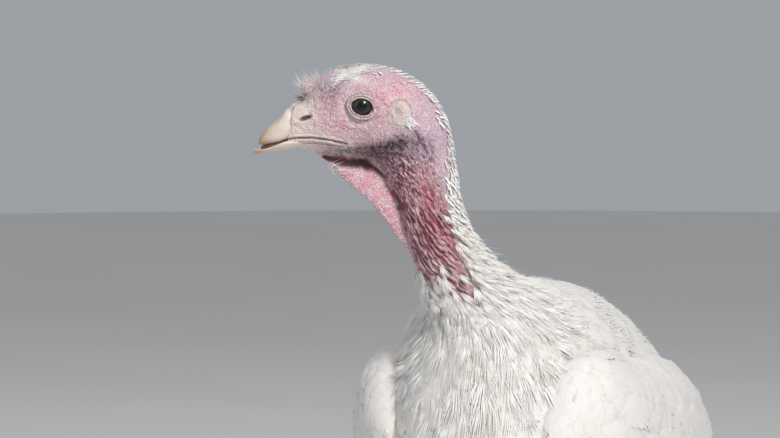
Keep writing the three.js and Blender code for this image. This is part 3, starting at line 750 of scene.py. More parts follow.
def skin_marks(points, facts, kind):
    """The markings of the skin at each point, by name; dark and relief carry painted shade as well as the
    skin's own colours.
    """
    along, around, relief = facts.T
    placed, flat, side, on_side, on_head = head_measures(points, along)
    forward, above = flat.T
    main = kind == MAIN
    on_head = np.where(main, on_head, 1.0)
    throat, hollow = throat_crease(placed)
    # painted shade of the throat's hollow on the dewlap, fading down it
    high = 1 - 0.75 * ramp(-above, 45, 66)
    relief = np.where(kind == DEWLAP, 1 - 0.9 * high * hollow * bell(throat, 0.9), relief)

    mouth, share = to_line(flat, MOUTH_LINE)
    gape = spot(flat, (7.5, -21.2), 1.8)
    nostril, _ = flat_oval(flat, NOSTRIL)
    groove, _ = to_line(flat, NOSTRIL_GROOVE)
    fold, _ = to_line(flat, JAW_FOLD)
    crease, _ = to_line(flat, NECK_CREASE)
    edge, _ = to_line(flat, FLAP_EDGE)
    beard, beard_share = to_line(flat, STUBBLE)
    rim, fold_of_lid, lid = (round_the_eye(flat, wider) for wider in (0, 1.35, 2.6))
    in_beard = bell(beard, 3.4 + 1.4 * ramp(beard_share, 0.6, 1))
    speckle = 0.5 + 0.5 * ramp(noise(points, 1.2, 43), -0.15, 0.3)
    # dark: painted shade in the mouth's slit, the nostril, the grooves, folds and creases, the lids' folds
    # and their slit against the eye, and the ear's rim and opening
    dark = on_head * on_side * np.maximum.reduce([
        0.85 * bell(mouth, 0.42) * (1 - ramp(share, 0.97, 1.0)),
        0.85 - 0.85 * ramp(nostril, 0.6, 1.0),
        0.25 * bell(groove, 0.4),
        0.5 * bell(edge, 0.35),
        0.5 * bell(fold, 0.4),
        0.35 * bell(crease, 0.4),
        0.6 * bell(lid - 1.06, 0.03),
        0.5 * bell(fold_of_lid - 1, 0.035),
        0.95 * (1 - ramp(rim, 1.01, 1.09)),
        0.42 * bell(flat_oval(flat, EAR)[0] - 1.05, 0.06),
        0.33 * spot(flat, (-20.3, -2.8), 1.7, 1.1, 1.9),
        # a darker patch on the lore; then the stubble band's dark bristly skin, with painted shade under the
        # jaw
        0.2 * spot(flat, (22, 4), 6, 1.5),
        (0.12 + 0.95 * ramp(beard_share, 0.1, 0.4)) * in_beard * speckle,
    ]) * ~np.isin(kind, (DEWLAP, SNOOD))
    # painted shadow cast by the snood; painted shadow in the throat's hollow under the jaw and along the
    # dewlap's root; painted shade below and behind the ear
    under_snood = spot(flat, (35, 5.5), 3.0, 1.4) * (kind != SNOOD)
    shadow = 0.55 + 0.45 * ramp(forward, -14, -2) - 0.25 * ramp(forward, 6, 18)
    shadow *= (1 - ramp(throat, 0.6, 1.15)) * hollow * (kind <= DEWLAP) * (1 - 0.85 * ramp(-above, 38, 54))
    shade_behind_ear = 0.42 * spot(flat, (-28.6, -17.2), 5.2, 0.8) * main
    dark = np.maximum.reduce([dark, 0.7 * under_snood, shadow, shade_behind_ear])
    lids = np.isin(kind, LIDS) * 1.0
    dark = np.maximum(dark, 0.4 * lids * ramp(noise(points, 0.9, 44), 0.05, 0.5))
    ears = np.isin(kind, EARS) * (1 - ramp(noise(points, 3, 41), 0.3, 0.9) * 0.5)
    horn = on_head * ramp(forward, 22, 31) * (1 - 0.5 * ramp(above, 0, 5)) * (kind != SNOOD)
    lips = on_head * on_side * bell(mouth, 3.6) * ramp(forward, 8, 18)
    horn = np.maximum.reduce([horn, 0.9 * lips, 0.7 * gape * on_side])

    cheek = spot(flat, (10, -13), 8, 1, 1 / 1.3) + 1.7 * spot(flat, (-11, -1), 5.5)
    cheek += 0.8 * spot(flat, (-22, 9), 9)
    forehead = ramp(above, 4, 12) * ramp(forward, 0, 14)
    flush = np.clip(0.42 + 0.55 * cheek - 0.3 * forehead + 0.35 * noise(points, 9, 47), 0, 1) * on_head
    neck = main * ramp(along, 8.5, 11)
    turn = from_top(around)
    strands = 1.7 * bell(turn - 1.75, 0.42) * ramp(along, 9.8, 11.5)
    behind = neck * (1 - ramp(turn, 0.9, 1.3)) * (1 - ramp(along, 12, 13.5))
    across, down = fold_places(along, around)
    streaks = ramp(noise(np.stack([across, down, 0 * down], 1), 2.6, 48), -0.2, 0.5)
    strands = np.clip(strands, 0, 1) * (0.2 + 0.8 * streaks)
    flush = np.maximum(flush, neck * (0.4 + strands) - 0.35 * behind)
    for middle in CARUNCLES:
        flush = np.maximum(flush, 2.2 * spot(flat, middle, 1.9) * on_side)
    flush = np.where(kind == SNOOD, 0.2, flush)
    flush = np.where(kind == DEWLAP, 0.92 + 0.4 * bell(to_line(flat, HEM)[0], 1.4), flush)
    lilac = spot(flat, (-29, -14), 9, 1.3) + 0.9 * on_head * ramp(below_jaw(flat), -3, 5)
    rear = on_head * np.maximum(0.55 * ramp(above, 6, 15), 0.75 * ramp(-forward, 22, 32))
    lilac = np.clip(lilac + 0.75 * forehead + rear, 0, 1) * (kind != DEWLAP) * (1 - ramp(along, 10.5, 12.5))
    lilac = np.maximum(lilac, 0.8 * behind)
    streak = bell(flat_oval(flat, BROW_STREAK)[0], 1) * ramp(side, 0, 4)
    beads = np.maximum.reduce([spot(flat, middle, 2.2) for middle in CARUNCLES]) * on_side
    feathered = main * feathered_neck(along, around) * (1 - beads)
    feathered = np.maximum(feathered, 1.15 * streak * on_head)
    return {
        "relief": relief, "dark": dark, "lids": lids, "ears": ears, "horn": horn,
        "flush": flush, "lilac": lilac, "feathered": feathered,
        "across": across, "down": down, "bare": bare_neck(flat, along, around)[0] * main,
    }


# ---- Materials ----
class Nodes:
    """Adds nodes to a node tree; an input is a plain value or another node's output."""

    def __init__(self, tree):
        self.tree = tree

    def add(self, kind, inputs=None, **settings):
        node = self.tree.nodes.new(kind)
        for key, value in settings.items():
            setattr(node, key, value)
        for key, value in (inputs or {}).items():
            socket = node.inputs[key]
            if isinstance(value, bpy.types.NodeSocket):
                self.tree.links.new(value, socket)
            else:
                socket.default_value = (*value[:3], 1) if socket.type == "RGBA" else value
        return node

    def attribute(self, name):
        return self.add("ShaderNodeAttribute", attribute_name=name).outputs["Fac"]

    def place(self):
        return self.add("ShaderNodeTexCoord").outputs["Object"]

    def math(self, operation, first, second=0.0, clamp=False):
        node = self.add("ShaderNodeMath", {0: first, 1: second}, operation=operation, use_clamp=clamp)
        return node.outputs[0]

    def times(self, first, second):
        return self.math("MULTIPLY", first, second)

    def ranged(self, value, low, high, to_low=0.0, to_high=1.0):
        inputs = {"Value": value, "From Min": low, "From Max": high, "To Min": to_low, "To Max": to_high}
        return self.add("ShaderNodeMapRange", inputs, interpolation_type="SMOOTHSTEP").outputs["Result"]

    def blend(self, share, first, second):
        return self.add("ShaderNodeMix", {0: share, 6: first, 7: second}, data_type="RGBA").outputs[2]

    def over(self, colour, *layers):
        """A colour under further ones, each given as its share and itself."""
        for share, tint in layers:
            colour = self.blend(share, colour, tint)
        return colour

    def laid(self, x, y, z=0.0):
        return self.add("ShaderNodeCombineXYZ", {"X": x, "Y": y, "Z": z}).outputs[0]

    def noise(self, scale, detail, roughness=0.55, place=None, distortion=0.0):
        inputs = {"Vector": place or self.place(), "Scale": scale, "Detail": detail}
        inputs |= {"Roughness": roughness, "Distortion": distortion}
        return self.add("ShaderNodeTexNoise", inputs).outputs["Fac"]

    def cells(self, scale):
        return self.add("ShaderNodeTexVoronoi", {"Vector": self.place(), "Scale": scale}).outputs["Distance"]

    def bump(self, height, depth, strength, under=None):
        inputs = {"Height": height, "Distance": depth, "Strength": strength}
        if under:
            inputs["Normal"] = under
        return self.add("ShaderNodeBump", inputs).outputs["Normal"]


def group(name, inputs, outputs, fill):
    """A shader node group built once, its sockets given as names with kinds."""
    tree = bpy.data.node_groups.new(name, "ShaderNodeTree")
    for way, sockets in (("INPUT", inputs), ("OUTPUT", outputs)):
        for key, kind in sockets.items():
            tree.interface.new_socket(key, in_out=way, socket_type=f"NodeSocket{kind}")
    nodes = Nodes(tree)
    results = fill(nodes, nodes.add("NodeGroupInput").outputs)
    nodes.add("NodeGroupOutput", results)
    return tree


def placed_group(nodes, name, inputs):
    """A shared effect in a material, with that material's own values; its group is built when first used."""
    tree = bpy.data.node_groups.get(name) or group(name, *EFFECTS[name])
    return nodes.add("ShaderNodeGroup", inputs, node_tree=tree).outputs


def surface(name, fill, **constants):
    """A material with a Principled BSDF; fill links what changes over the surface, constants are set."""
    if name in bpy.data.materials:
        return bpy.data.materials[name]
    material = bpy.data.materials.new(name)
    material.use_nodes = True
    nodes = Nodes(material.node_tree)
    shader = material.node_tree.nodes["Principled BSDF"]
    for key, value in constants.items():
        shader.inputs[key.replace("_", " ")].default_value = value
    for key, socket in fill(nodes).items():
        material.node_tree.links.new(socket, shader.inputs[key])
    return material


def fill_grain(nodes, given):
    """Pores and pebbles of a surface: a height, and a mask of its deepest spots."""
    coarse = nodes.noise(given["Scale"], 5.0, 0.6)
    cells = nodes.cells(nodes.times(given["Scale"], 1.7))
    height = nodes.math("ADD", nodes.times(coarse, 0.6), nodes.times(cells, given["Pebbles"]))
    return {"Height": height, "Spots": nodes.ranged(coarse, 0.52, 0.68)}


def fill_horn(nodes, given):
    """Horn that grows in fine lines, paler at its root and browner at its tip."""
    along, streak = nodes.attribute("along"), nodes.attribute("streak")
    lines = nodes.noise(4.0, 4.0, 0.6, place=nodes.laid(nodes.times(streak, 26.0), along))
    clouds = nodes.noise(260.0, 4.0, 0.6)
    reach = nodes.math("ADD", along, nodes.times(nodes.math("SUBTRACT", clouds, 0.5), 0.45))
    lined = nodes.ranged(lines, 0.48, 0.75, 0.0, 0.35)
    colour = nodes.over(given["Root"], (nodes.ranged(reach, 0.1, 0.95), given["Tip"]), (lined, given["Tip"]))
    height = nodes.math("ADD", lines, nodes.times(nodes.noise(1400.0, 3.0), 0.35))
    return {"Colour": colour, "Height": height, "Roughness": nodes.ranged(clouds, 0.3, 0.7, 0.32, 0.5)}


def skin_material(colours):
    """Thin living skin: mottled pink and cream on the face, red in the furrows of the neck, with painted
    shade in its furrows, slits, creases and hollows.
    """

    def fill(nodes):
        mark = nodes.attribute
        grain = placed_group(nodes, "Skin grain", {"Scale": 620.0, "Pebbles": 0.5})
        blotch = nodes.ranged(nodes.noise(190.0, 5.0, 0.65), 0.42, 0.62)
        vessels = nodes.ranged(nodes.noise(560.0, 6.0, 0.72, distortion=1.2), 0.49, 0.62)
        flush = mark("flush")
        heat = nodes.times(flush, nodes.math("ADD", nodes.times(blotch, 0.85), 0.15))
        reach = nodes.math("ADD", nodes.times(flush, 0.75), 0.12)
        pale = nodes.ranged(nodes.noise(1150.0, 4.0, 0.75), 0.5, 0.62, 0.0, 0.78)
        # the pale flakes keep to the ridges of the neck, partly a painted highlight on them
        pale = nodes.times(pale, nodes.ranged(mark("relief"), 0.5, 0.95))
        deep = nodes.blend(mark("lilac"), colours.furrow, colours.bruise)
        red = nodes.blend(nodes.ranged(flush, 0.95, 1.35, 0.0, 0.4), deep, colours.blood)
        waves = nodes.noise(0.62, 2.0, 0.5, place=nodes.laid(mark("across"), mark("down")))
        waves = nodes.math("ABSOLUTE", nodes.math("SUBTRACT", waves, 0.5))
        line = nodes.times(nodes.ranged(waves, 0.01, 0.09, 1.0, 0.0), mark("bare"))
        colour = nodes.over(
            colours.face,
            (heat, colours.flush),
            (nodes.times(vessels, reach), colours.vessels),
            (nodes.times(mark("lilac"), 0.6), colours.lilac),
            (pale, colours.scurf_and_highlight),
            # furrow colour where relief is low: the redder skin of the furrows, with painted shade in them,
            # in the creases and in the throat's hollow
            (nodes.ranged(mark("relief"), 0.12, 0.64, 0.95, 0.0), deep),
            (nodes.times(line, 0.5), red),
            (nodes.ranged(flush, 1.5, 2.4, 0.0, 0.7), colours.blood),
            (nodes.times(mark("horn"), nodes.ranged(blotch, 0, 1, 0.95, 0.7)), colours.cere),
            (nodes.times(mark("lids"), nodes.ranged(blotch, 0, 1, 0.9, 0.6)), colours.lids),
            (nodes.times(mark("ears"), 0.85), colours.ears),
            (nodes.times(mark("feathered"), 0.95), colours.under),
            (nodes.times(mark("dark"), 0.96), colours.dark),
        )
        fine = nodes.bump(nodes.noise(2600.0, 3.0, 0.6), 0.0001, 0.5)
        height = nodes.math("SUBTRACT", grain["Height"], nodes.times(line, 0.5))
        rough = nodes.ranged(grain["Spots"], 0, 1, 0.5, 0.66)
        return {"Base Color": colour, "Normal": nodes.bump(height, 0.0009, 1.0, fine), "Roughness": rough}

    return surface(
        "turkey skin", fill, Subsurface_Weight=0.12, Subsurface_Radius=(1.0, 0.35, 0.25),
        Subsurface_Scale=0.0011, Specular_IOR_Level=0.35,
    )


def horn_material(name, root, tip):
    """Smooth horn for the bill and the claws."""

    def fill(nodes):
        horn = placed_group(nodes, "Horn growth", {"Root": root, "Tip": tip})
        return {
            "Base Color": horn["Colour"], "Roughness": horn["Roughness"],
            "Normal": nodes.bump(horn["Height"], 0.0002, 0.5),
        }

    return surface(
        name, fill, Subsurface_Weight=0.12, Subsurface_Radius=(1.0, 0.6, 0.35), Subsurface_Scale=0.0015
    )


PUPIL = (0.002, 0.002, 0.002)


def eye_material(colours):
    """The globe: a black pupil in a dark ringed iris, under a wet clear coat."""

    def fill(nodes):
        away = nodes.attribute("away")  # millimetres from the pupil's middle
        turn = nodes.attribute("turn")
        fibres = nodes.noise(2.2, 4.0, 0.7, place=nodes.laid(nodes.times(turn, 9.0), away))
        colour = nodes.over(
            colours.iris,
            (nodes.ranged(fibres, 0.35, 0.7), colours.iris_ring),
            (nodes.times(nodes.ranged(away, 3.0, 3.9), 0.8), colours.iris_ring),
            (nodes.ranged(away, 4.5, 5.1), colours.dark),
            (nodes.ranged(away, 5.4, 5.9), colours.sclera),
        )
        return {"Base Color": nodes.blend(nodes.ranged(away, 2.7, 3.0), PUPIL, colour)}

    return surface(
        "wet eye", fill, Roughness=0.4, Specular_IOR_Level=0.1,
        Coat_Weight=0.8, Coat_Roughness=0.015, Coat_IOR=1.36,
    )


def hair_material(name, root, tip):
    """Horny hairs, paler or darker towards their tips."""

    def fill(nodes):
        along = nodes.attribute("along")
        clouds = nodes.noise(300.0, 3.0)
        share = nodes.times(nodes.ranged(along, 0.3, 1.0), nodes.ranged(clouds, 0.3, 0.7))
        return {"Base Color": nodes.blend(nodes.times(share, 0.6), root, tip)}

    return surface(name, fill, Roughness=0.45)


# ---- Bill and eyes ----
UPPER_BILL = head_sections([
    (36, -9.4, 0, T, 0, 7.2, 7.0, 8.0, 2.4, -0.12),
    (42.3, -9, 0, T, 0, 7.8, 7.2, 10.3, 2.4, -0.12),
    (47.5, -12.2, 0, T, 0, 6.9, 4.6, 8.9, 2.4, -0.08),
    (53, -15.8, 0, T, 0, 5.4, 3.8, 6.3, 2.3, -0.04),
    (56.6, -18.6, 0, T, 0, 3.7, 2.6, 3.5, 2.1, 0),
    (58.6, -20.4, 0, T, 0, 1.6, 1.3, 1.2, 2, 0),
])
LOWER_BILL = head_sections([
    (36, -20.6, 0, T, 0, 6.2, 1.2, 3.0, 2.2, 0.25),
    (42.3, -21, 0, T, 0, 7, 1.6, 3.9, 2.2, 0.25),
    (48, -22.2, 0, T, 0, 6.3, 0.7, 3.4, 2.2, 0.25),
    (54, -24.5, 0, T, 0, 5, 0.8, 2.2, 2.2, 0.2),
    (58.6, -25.5, 0, T, 0, 3.2, 1.1, 1.5, 2, 0.1),
    (61.2, -25.5, 0, T, 0, 1.5, 1.2, 1.1, 2, 0),
])
MOUTH_LINING = head_sections([
    (38, -19.6, 0, T, 0, 4.6, 1.2, 1.2, 2.2, 0),
    (47.5, -21.5, 0, T, 0, 5.3, 1.3, 1.3, 2.2, 0),
    (53, -23, 0, T, 0, 4, 1.4, 1.4, 2.2, 0),
    (57.2, -23.8, 0, T, 0, 2, 0.9, 0.9, 2, 0),
])


def mouth_lining(colours):
    """The lining that shows where the two halves of the bill part, painted near black as the shade inside the
    mouth.
    """

    def fill(nodes):
        clouds = nodes.ranged(nodes.noise(500.0, 3.0), 0.35, 0.65)
        return {"Base Color": nodes.blend(nodes.times(clouds, 0.3), colours.dark, colours.groove)}

    loft = Loft(MOUTH_LINING)
    lining = tube(np.split(loft.grid(40, 40)[2], 40))
    finished(build("mouth_lining", *lining, surface("mouth lining", fill, Roughness=0.4)))


def bill_half(name, sections, material, seed):
    """One half of the bill, its horn in fine ridges that wear away towards the tip."""
    loft = Loft(sections)
    along, around, points, normal = loft.grid(96, 72)
    laid = np.stack([6 * np.cos(around), 6 * np.sin(around), along * 1.2], 1)
    rise = 0.10 * noise(laid, 0.9, seed) + 0.16 * noise(points, 4, seed + 1) * ramp(along, 1, 2)
    rise += -0.35 * ramp(along, 4.2, 5) * np.maximum(0, noise(points, 1.6, seed + 2))
    points = points + normal * rise[:, None]
    shares = np.concatenate([np.clip((along - 1) / (loft.end - 1), 0, 1), [0, 1]])
    streak = np.concatenate([np.cos(around) + 0.3 * np.sin(around), [0, 0]])
    piece = build(name, *tube(np.split(points, 96)), material, values={"along": shares, "streak": streak})
    return finished(piece, [name.replace("horn_", "") + "_bill"])


def eye_globe(name, side, radius, material):
    """One eyeball, its clear front standing a little proud."""
    rows, count = 60, 96
    rings, away, turn = [], [], []
    for angle in np.linspace(0.01, math.pi - 0.01, rows):
        spin = np.arange(count) * TAU / count
        flat = radius * math.sin(angle)
        bulge = 0.35 * bell(flat / 4.6, 1) * (angle < math.pi / 2)
        deep = (radius + bulge) * math.cos(angle) - 0.15
        x, y = flat * np.cos(spin), flat * np.sin(spin)
        out = side * (EYE_CENTRE[1] + np.full(count, deep))
        rings.append(head_point(np.stack([EYE_CENTRE[0] + x, out, EYE_CENTRE[2] + y], 1)))
        away.append(np.full(count, flat if angle < math.pi / 2 else 2 * radius - flat))
        turn.append(spin)
    values = {"away": [*np.concatenate(away), 0, 16], "turn": [*np.concatenate(turn), 0, 0]}
    piece = build(f"globe_{name}", *tube(rings), material, values=values)
    return finished(piece, [f"eye_{name}"])


# ---- Feathers: one flat template, laid many times along a form ----
class Fan:
    """The flat run of the tail. A place along counts its sections; a place across is in millimetres."""

    def __init__(self, sections):
        self.loft = Loft(sections)
        self.end = self.loft.end
        self.girth = 120  # what places across run over

    def points(self, along, across, grow=0.0):
        s = self.loft.section(along)
        tilt = np.radians(s[:, 4])
        up = np.stack([0 * tilt, np.sin(tilt), np.cos(tilt)], 1)
        arch = -3.0 * (across / 45) ** 2
        return s[:, :3] + np.stack([across, 0 * across, 0 * across], 1) + up * (grow + arch)[:, None]

    def metric(self, along, across):
        low, high = np.clip(along - 0.01, 0, self.end), np.clip(along + 0.01, 0, self.end)
        run = self.loft.section(high)[:, :3] - self.loft.section(low)[:, :3]
        return np.linalg.norm(run, axis=1) / (high - low), np.ones(len(along)), None


def vane_outline(q, tip):
    """Half width and place along of a feather's outline, at a share q of the way from its base to its tip."""
    base = np.clip(q / 0.55, 0, 1)
    turn = np.clip((q - 0.55) / 0.45, 0, 1) * math.pi / 2
    width = np.where(q < 0.55, 0.14 + 0.86 * np.sin(base * math.pi / 2) ** 0.9, np.cos(turn) ** tip)
    return width, np.where(q < 0.55, 0.05 + 0.55 * base, 0.60 + 0.40 * np.sin(turn))


class Template:
    """A closed feather lying flat: x across and z up in shares of half its width, y along in shares of its
    length. aspect is how many half widths long it is."""

    def __init__(self, seed, aspect):
        self.rng = np.random.default_rng(seed)
        self.aspect = aspect
        self.rows, self.triangles = [], []

    def point(self, x, y, z):
        self.rows.append((x, y, z))
        return len(self.rows) - 1

    def face(self, a, b, c, side=1):
        if len({a, b, c}) == 3:
            self.triangles.append((a, b, c) if side > 0 else (a, c, b))

    def done(self):
        self.points, self.faces = np.array(self.rows, float), np.array(self.triangles)
        return self

    def blade(self, root, tip, half, swell=0.3):
        """One thin barb or hair: flat below, ridged above, drawn to a point at both ends."""
        root, tip = np.array(root, float), np.array(tip, float)
        run = (tip - root) * (1, self.aspect, 1)
        across = np.array([run[1], -run[0] / self.aspect, 0]) / max(math.hypot(run[0], run[1]), 1e-6) * half
        middle = root + (tip - root) * swell
        middle[2] += 0.25 * (root[2] - tip[2]) * swell
        a, d = self.point(*root), self.point(*tip)
        b, c = self.point(*(middle + across)), self.point(*(middle - across))
        top = self.point(*(middle + (0, 0, half * 0.8)))
        for corners in ((a, b, top), (a, top, c), (a, c, b), (d, top, b), (d, c, top), (d, b, c)):
            self.face(*corners)

    def vane(self, teeth, ragged, camber, tip):
        """The vane, its two webs arched from the shaft and torn into teeth along their edges."""
        q = np.linspace(0, 1, teeth + 1)
        width, y = vane_outline(q, tip)
        spine = [self.point(0, y[k] - 0.30 * width[k], camber) for k in range(teeth)]
        under = [self.point(0, y[k] - 0.28 * width[k], camber - 0.04) for k in range(teeth)]
        point = self.point(0, 1, 0.0)
        for side in (1, -1):
            edge, mid, tines = [], [], []
            for k in range(teeth):
                reach = width[k] * (1 - ragged * self.rng.uniform(0.1, 1.0) ** 2)
                edge.append(self.point(side * reach, y[k] - 0.05 * ragged, self.rng.normal(0, 0.02)))
                lift = camber * 0.78 + self.rng.normal(0, 0.035)
                mid.append(self.point(side * reach * 0.52, y[k] - 0.15 * width[k], lift))
                w, up = vane_outline(np.array([q[k] + 0.62 / teeth]), tip)
                out = w[0] * self.rng.uniform(0.96, 1.0 + ragged * 0.3)
                far = up[0] + self.rng.uniform(0, 0.03)
                tines.append(self.point(side * out, far, self.rng.normal(0, 0.03)))
            edge.append(point)
            mid.append(point)
            for k in range(teeth):
                self.face(spine[k], (spine + [point])[k + 1], mid[k + 1], side)
                self.face(spine[k], mid[k + 1], mid[k], side)
                for row, hand in ((mid, side), (under + [point], -side)):
                    self.face(row[k], row[k + 1], edge[k + 1], hand)
                    self.face(row[k], edge[k + 1], tines[k], hand)
                    self.face(row[k], tines[k], edge[k], hand)
            ends = [edge[0], mid[0], spine[0]]
            for a, b in zip(ends[:-1], ends[1:]):
                self.face(b, a, under[0], side)

    def fringe(self, wisps, tip, reach):
        """Loose barbs that stand out past the edge of the vane."""
        for _ in range(wisps):
            side = self.rng.choice([-1, 1])
            q = self.rng.uniform(0.25, 1.0) ** 0.8
            width, y = vane_outline(np.array([q]), tip)
            root = (side * width[0] * 0.78, y[0] - 0.30 / self.aspect, 0.03)
            slant = self.rng.uniform(0.5, 1.1) * (1 - 0.8 * ramp(q, 0.85, 1))
            far = 0.25 + reach * self.rng.uniform(0.2, 1.0)
            tip_x = root[0] + side * far * 0.7 * slant
            tip_y = root[1] + far * (1.2 - 0.4 * slant) / self.aspect
            self.blade(root, (tip_x, tip_y, self.rng.normal(0.0, 0.07)), 0.016)


def plume(seed, teeth=12, ragged=0.22, camber=0.1, tip=0.8, reach=0.25, aspect=3.0):
    """A feather with its vane and loose edge."""
    made = Template(seed, aspect)
    made.vane(teeth, ragged, camber, tip)
    made.fringe(30, tip, reach)
    return made.done()


def lock(seed, blades, stout):
    """A small soft feather without a closed vane: narrow blades fanned out from one root."""
    made = Template(seed, 3.0)
    for k in range(blades):
        out = (k + 0.5) / blades * 2 - 1 + made.rng.normal(0, 0.08)
        far = 1 - 0.35 * abs(out) ** 1.5 - made.rng.uniform(0, 0.18)
        lift = made.rng.uniform(-0.05, 0.35)
        tip = (out * made.rng.uniform(0.7, 1.1), far, lift)
        made.blade((0.25 * out, 0.02 * abs(out), 0), tip, stout, 0.45)
    return made.done()


def spike():
    """A single stiff bristle, or a feather still in its quill: four sides drawn out to a point."""
    made = Template(0, 10)
    root, bend = made.point(0, 0, 0), 0.15
    for y, half in ((0.12, 1.0), (0.6, 0.75)):
        for x, z in ((half, 0), (0, 0.5 * half), (-half, 0), (0, -0.5 * half)):
            made.point(x, y, z + bend * y * y)
    tip = made.point(0, 1, bend)
    for k in range(4):
        a, b = 1 + k, 1 + (k + 1) % 4
        for corners in ((root, b, a), (a, b, b + 4), (a, b + 4, a + 4), (a + 4, b + 4, tip)):
            made.face(*corners)
    return made.done()


class Roots:
    """Where feathers grow on a form, and how each one lies: lengths in millimetres, swings in radians."""

    PLACES = ("along", "around", "length", "half", "depth", "lift", "swing", "twist")

    def __init__(self, form, along, around, seed):
        self.form, self.along, self.around = form, np.asarray(along, float), np.asarray(around, float)
        self.rng = np.random.default_rng(seed)
        self.swing = np.zeros(len(self.along))

    def sized(self, length, half, depth, lift, swing=8.0, vary=0.12):
        """Sets the length, half width, depth of the root and height of the tip; swing and vary are how much
        the direction and the size differ from one to the next."""
        count = len(self.along)
        scale = self.rng.normal(1, vary, count).clip(0.6, 1.5)
        self.length = np.broadcast_to(length, count) * scale
        self.half = np.broadcast_to(half, count) * scale
        self.depth = np.broadcast_to(depth, count) + self.rng.normal(0, 0.25, count)
        places = self.form.points(self.along, self.around)
        ruffle = noise(places, 30, 3) + 0.5 * noise(places, 14, 4)
        ruffle = self.rng.normal(0, 0.6, count) + ruffle
        self.lift = np.broadcast_to(lift, count) + 0.014 * self.length * ruffle
        self.swing = self.swing + np.radians(self.rng.normal(0, swing, count) + swing * noise(places, 40, 5))
        self.twist = self.rng.normal(0, 0.04, count)
        return self

    def scaled(self, sizes):
        """The same roots after the user's sizes."""
        self.length = self.length * sizes.feather_length
        self.lift = self.lift * sizes.ruffle
        return self

    def only(self, keep):
        for key in self.PLACES:
            if hasattr(self, key):
                setattr(self, key, getattr(self, key)[keep])
        return self

    def joined(self, *others):
        """These roots and others on the same form as one."""
        for key in self.PLACES:
            setattr(self, key, np.concatenate([getattr(roots, key) for roots in (self, *others)]))
        return self


def scatter(form, span, spacing, seed, turns=(-math.pi, math.pi), closer=1.0):
    """Roots spread evenly over part of a form; spacing is places along and the millimetres between roots."""
    rng = np.random.default_rng(seed)
    tries = 60000
    along, around = rng.uniform(*span, tries), rng.uniform(*turns, tries)
    per_place, per_turn, _ = form.metric(along, around)
    gap = closer * np.interp(along, *spacing)
    weight = per_place * per_turn / gap**2
    kept = rng.uniform(0, np.percentile(weight, 99.5), tries) < weight
    along, around, gap = along[kept], around[kept], gap[kept]
    points = form.points(along, around)
    cell = gap.max()
    grid, chosen = {}, []
    keys = np.floor(points / cell).astype(int)
    for i, (point, key, near) in enumerate(zip(points, map(tuple, keys), gap)):
        clear = True
        for step in np.ndindex(3, 3, 3):
            for j in grid.get((key[0] + step[0] - 1, key[1] + step[1] - 1, key[2] + step[2] - 1), ()):
                offset = point - points[j]
                if offset @ offset < (0.5 * (near + gap[j])) ** 2:
                    clear = False
                    break
            if not clear:
                break
        if clear:
            grid.setdefault(key, []).append(i)
            chosen.append(i)
    return Roots(form, along[chosen], around[chosen], seed + 1)


# how much of the OFBake map one feather takes up, for each half width across and up and length along
MAP_PATCH = {"across": (0.0015, 0.0004), "along": (0.003, 0.0003)}


def lay(name, roots, templates, material, own_width=0.0):
    """One joined mesh of feathers: each root takes a template in turn, bent along the form it grows on.
    own_width is how far a feather keeps its own width where the form narrows or widens, from 0 to 1."""
    form = roots.form
    per_place, per_turn, _ = form.metric(roots.along, roots.around)
    parts, values, maps = [], {"along": [], "across": [], "tone": [], "barb": []}, []
    tone = roots.rng.uniform(0, 1, len(roots.along))
    for kind, template in enumerate(templates):
        chosen = np.arange(len(roots.along)) % len(templates) == kind
        if not chosen.any():
            continue
        x, y, z = template.points.T
        place, turn, length, half, depth, lift, swing, twist = (
            getattr(roots, key)[chosen, None] for key in Roots.PLACES
        )
        wide, far = x * half, y * length
        run = far * np.cos(swing) - wide * np.sin(swing)
        aside = wide * np.cos(swing) + far * np.sin(swing)
        along = place + run / per_place[chosen, None]
        if own_width:
            flat = np.clip(along.ravel(), 0, form.end)
            middle = np.broadcast_to(turn, along.shape).ravel()
            now = form.metric(flat, middle)[1].reshape(along.shape)
            aside = aside * (per_turn[chosen, None] / now).clip(0.5, 3) ** own_width
        around = turn + aside / per_turn[chosen, None]
        rise = 1 - (1 - np.clip(y, 0, 1)) ** 2.2
        grow = -depth + (depth + lift) * rise + z * half + twist * wide
        points = form.points(along.ravel(), around.ravel(), grow.ravel())
        count = len(half)
        faces = (template.faces[None] + (np.arange(count) * len(x))[:, None, None]).reshape(-1, 3)
        parts.append((points, faces))
        values["along"].append(np.tile(y, count))
        values["across"].append(np.tile(x, count))
        values["tone"].append(np.repeat(tone[chosen], len(x)))
        values["barb"].append((far - 0.8 * np.abs(wide)).ravel())
        root_map = np.concatenate([(turn / form.girth) % 1.0, place / form.end], 1)
        (ax, az), (by, bz) = MAP_PATCH.values()
        patch = np.tile(np.stack([ax * x + az * z, by * y + bz * z], 1), (count, 1))
        maps.append(np.clip(np.repeat(root_map, len(x), axis=0) + patch, 0, 1))
    points, faces = merged(parts)
    if signed_volume(points, faces) < 0:
        faces = faces[:, ::-1]
    corner_map = np.concatenate(maps)[faces.ravel()]
    values = {key: np.concatenate(value) for key, value in values.items()}
    return finished(build(name, points, faces, material, 75, values, corner_map))


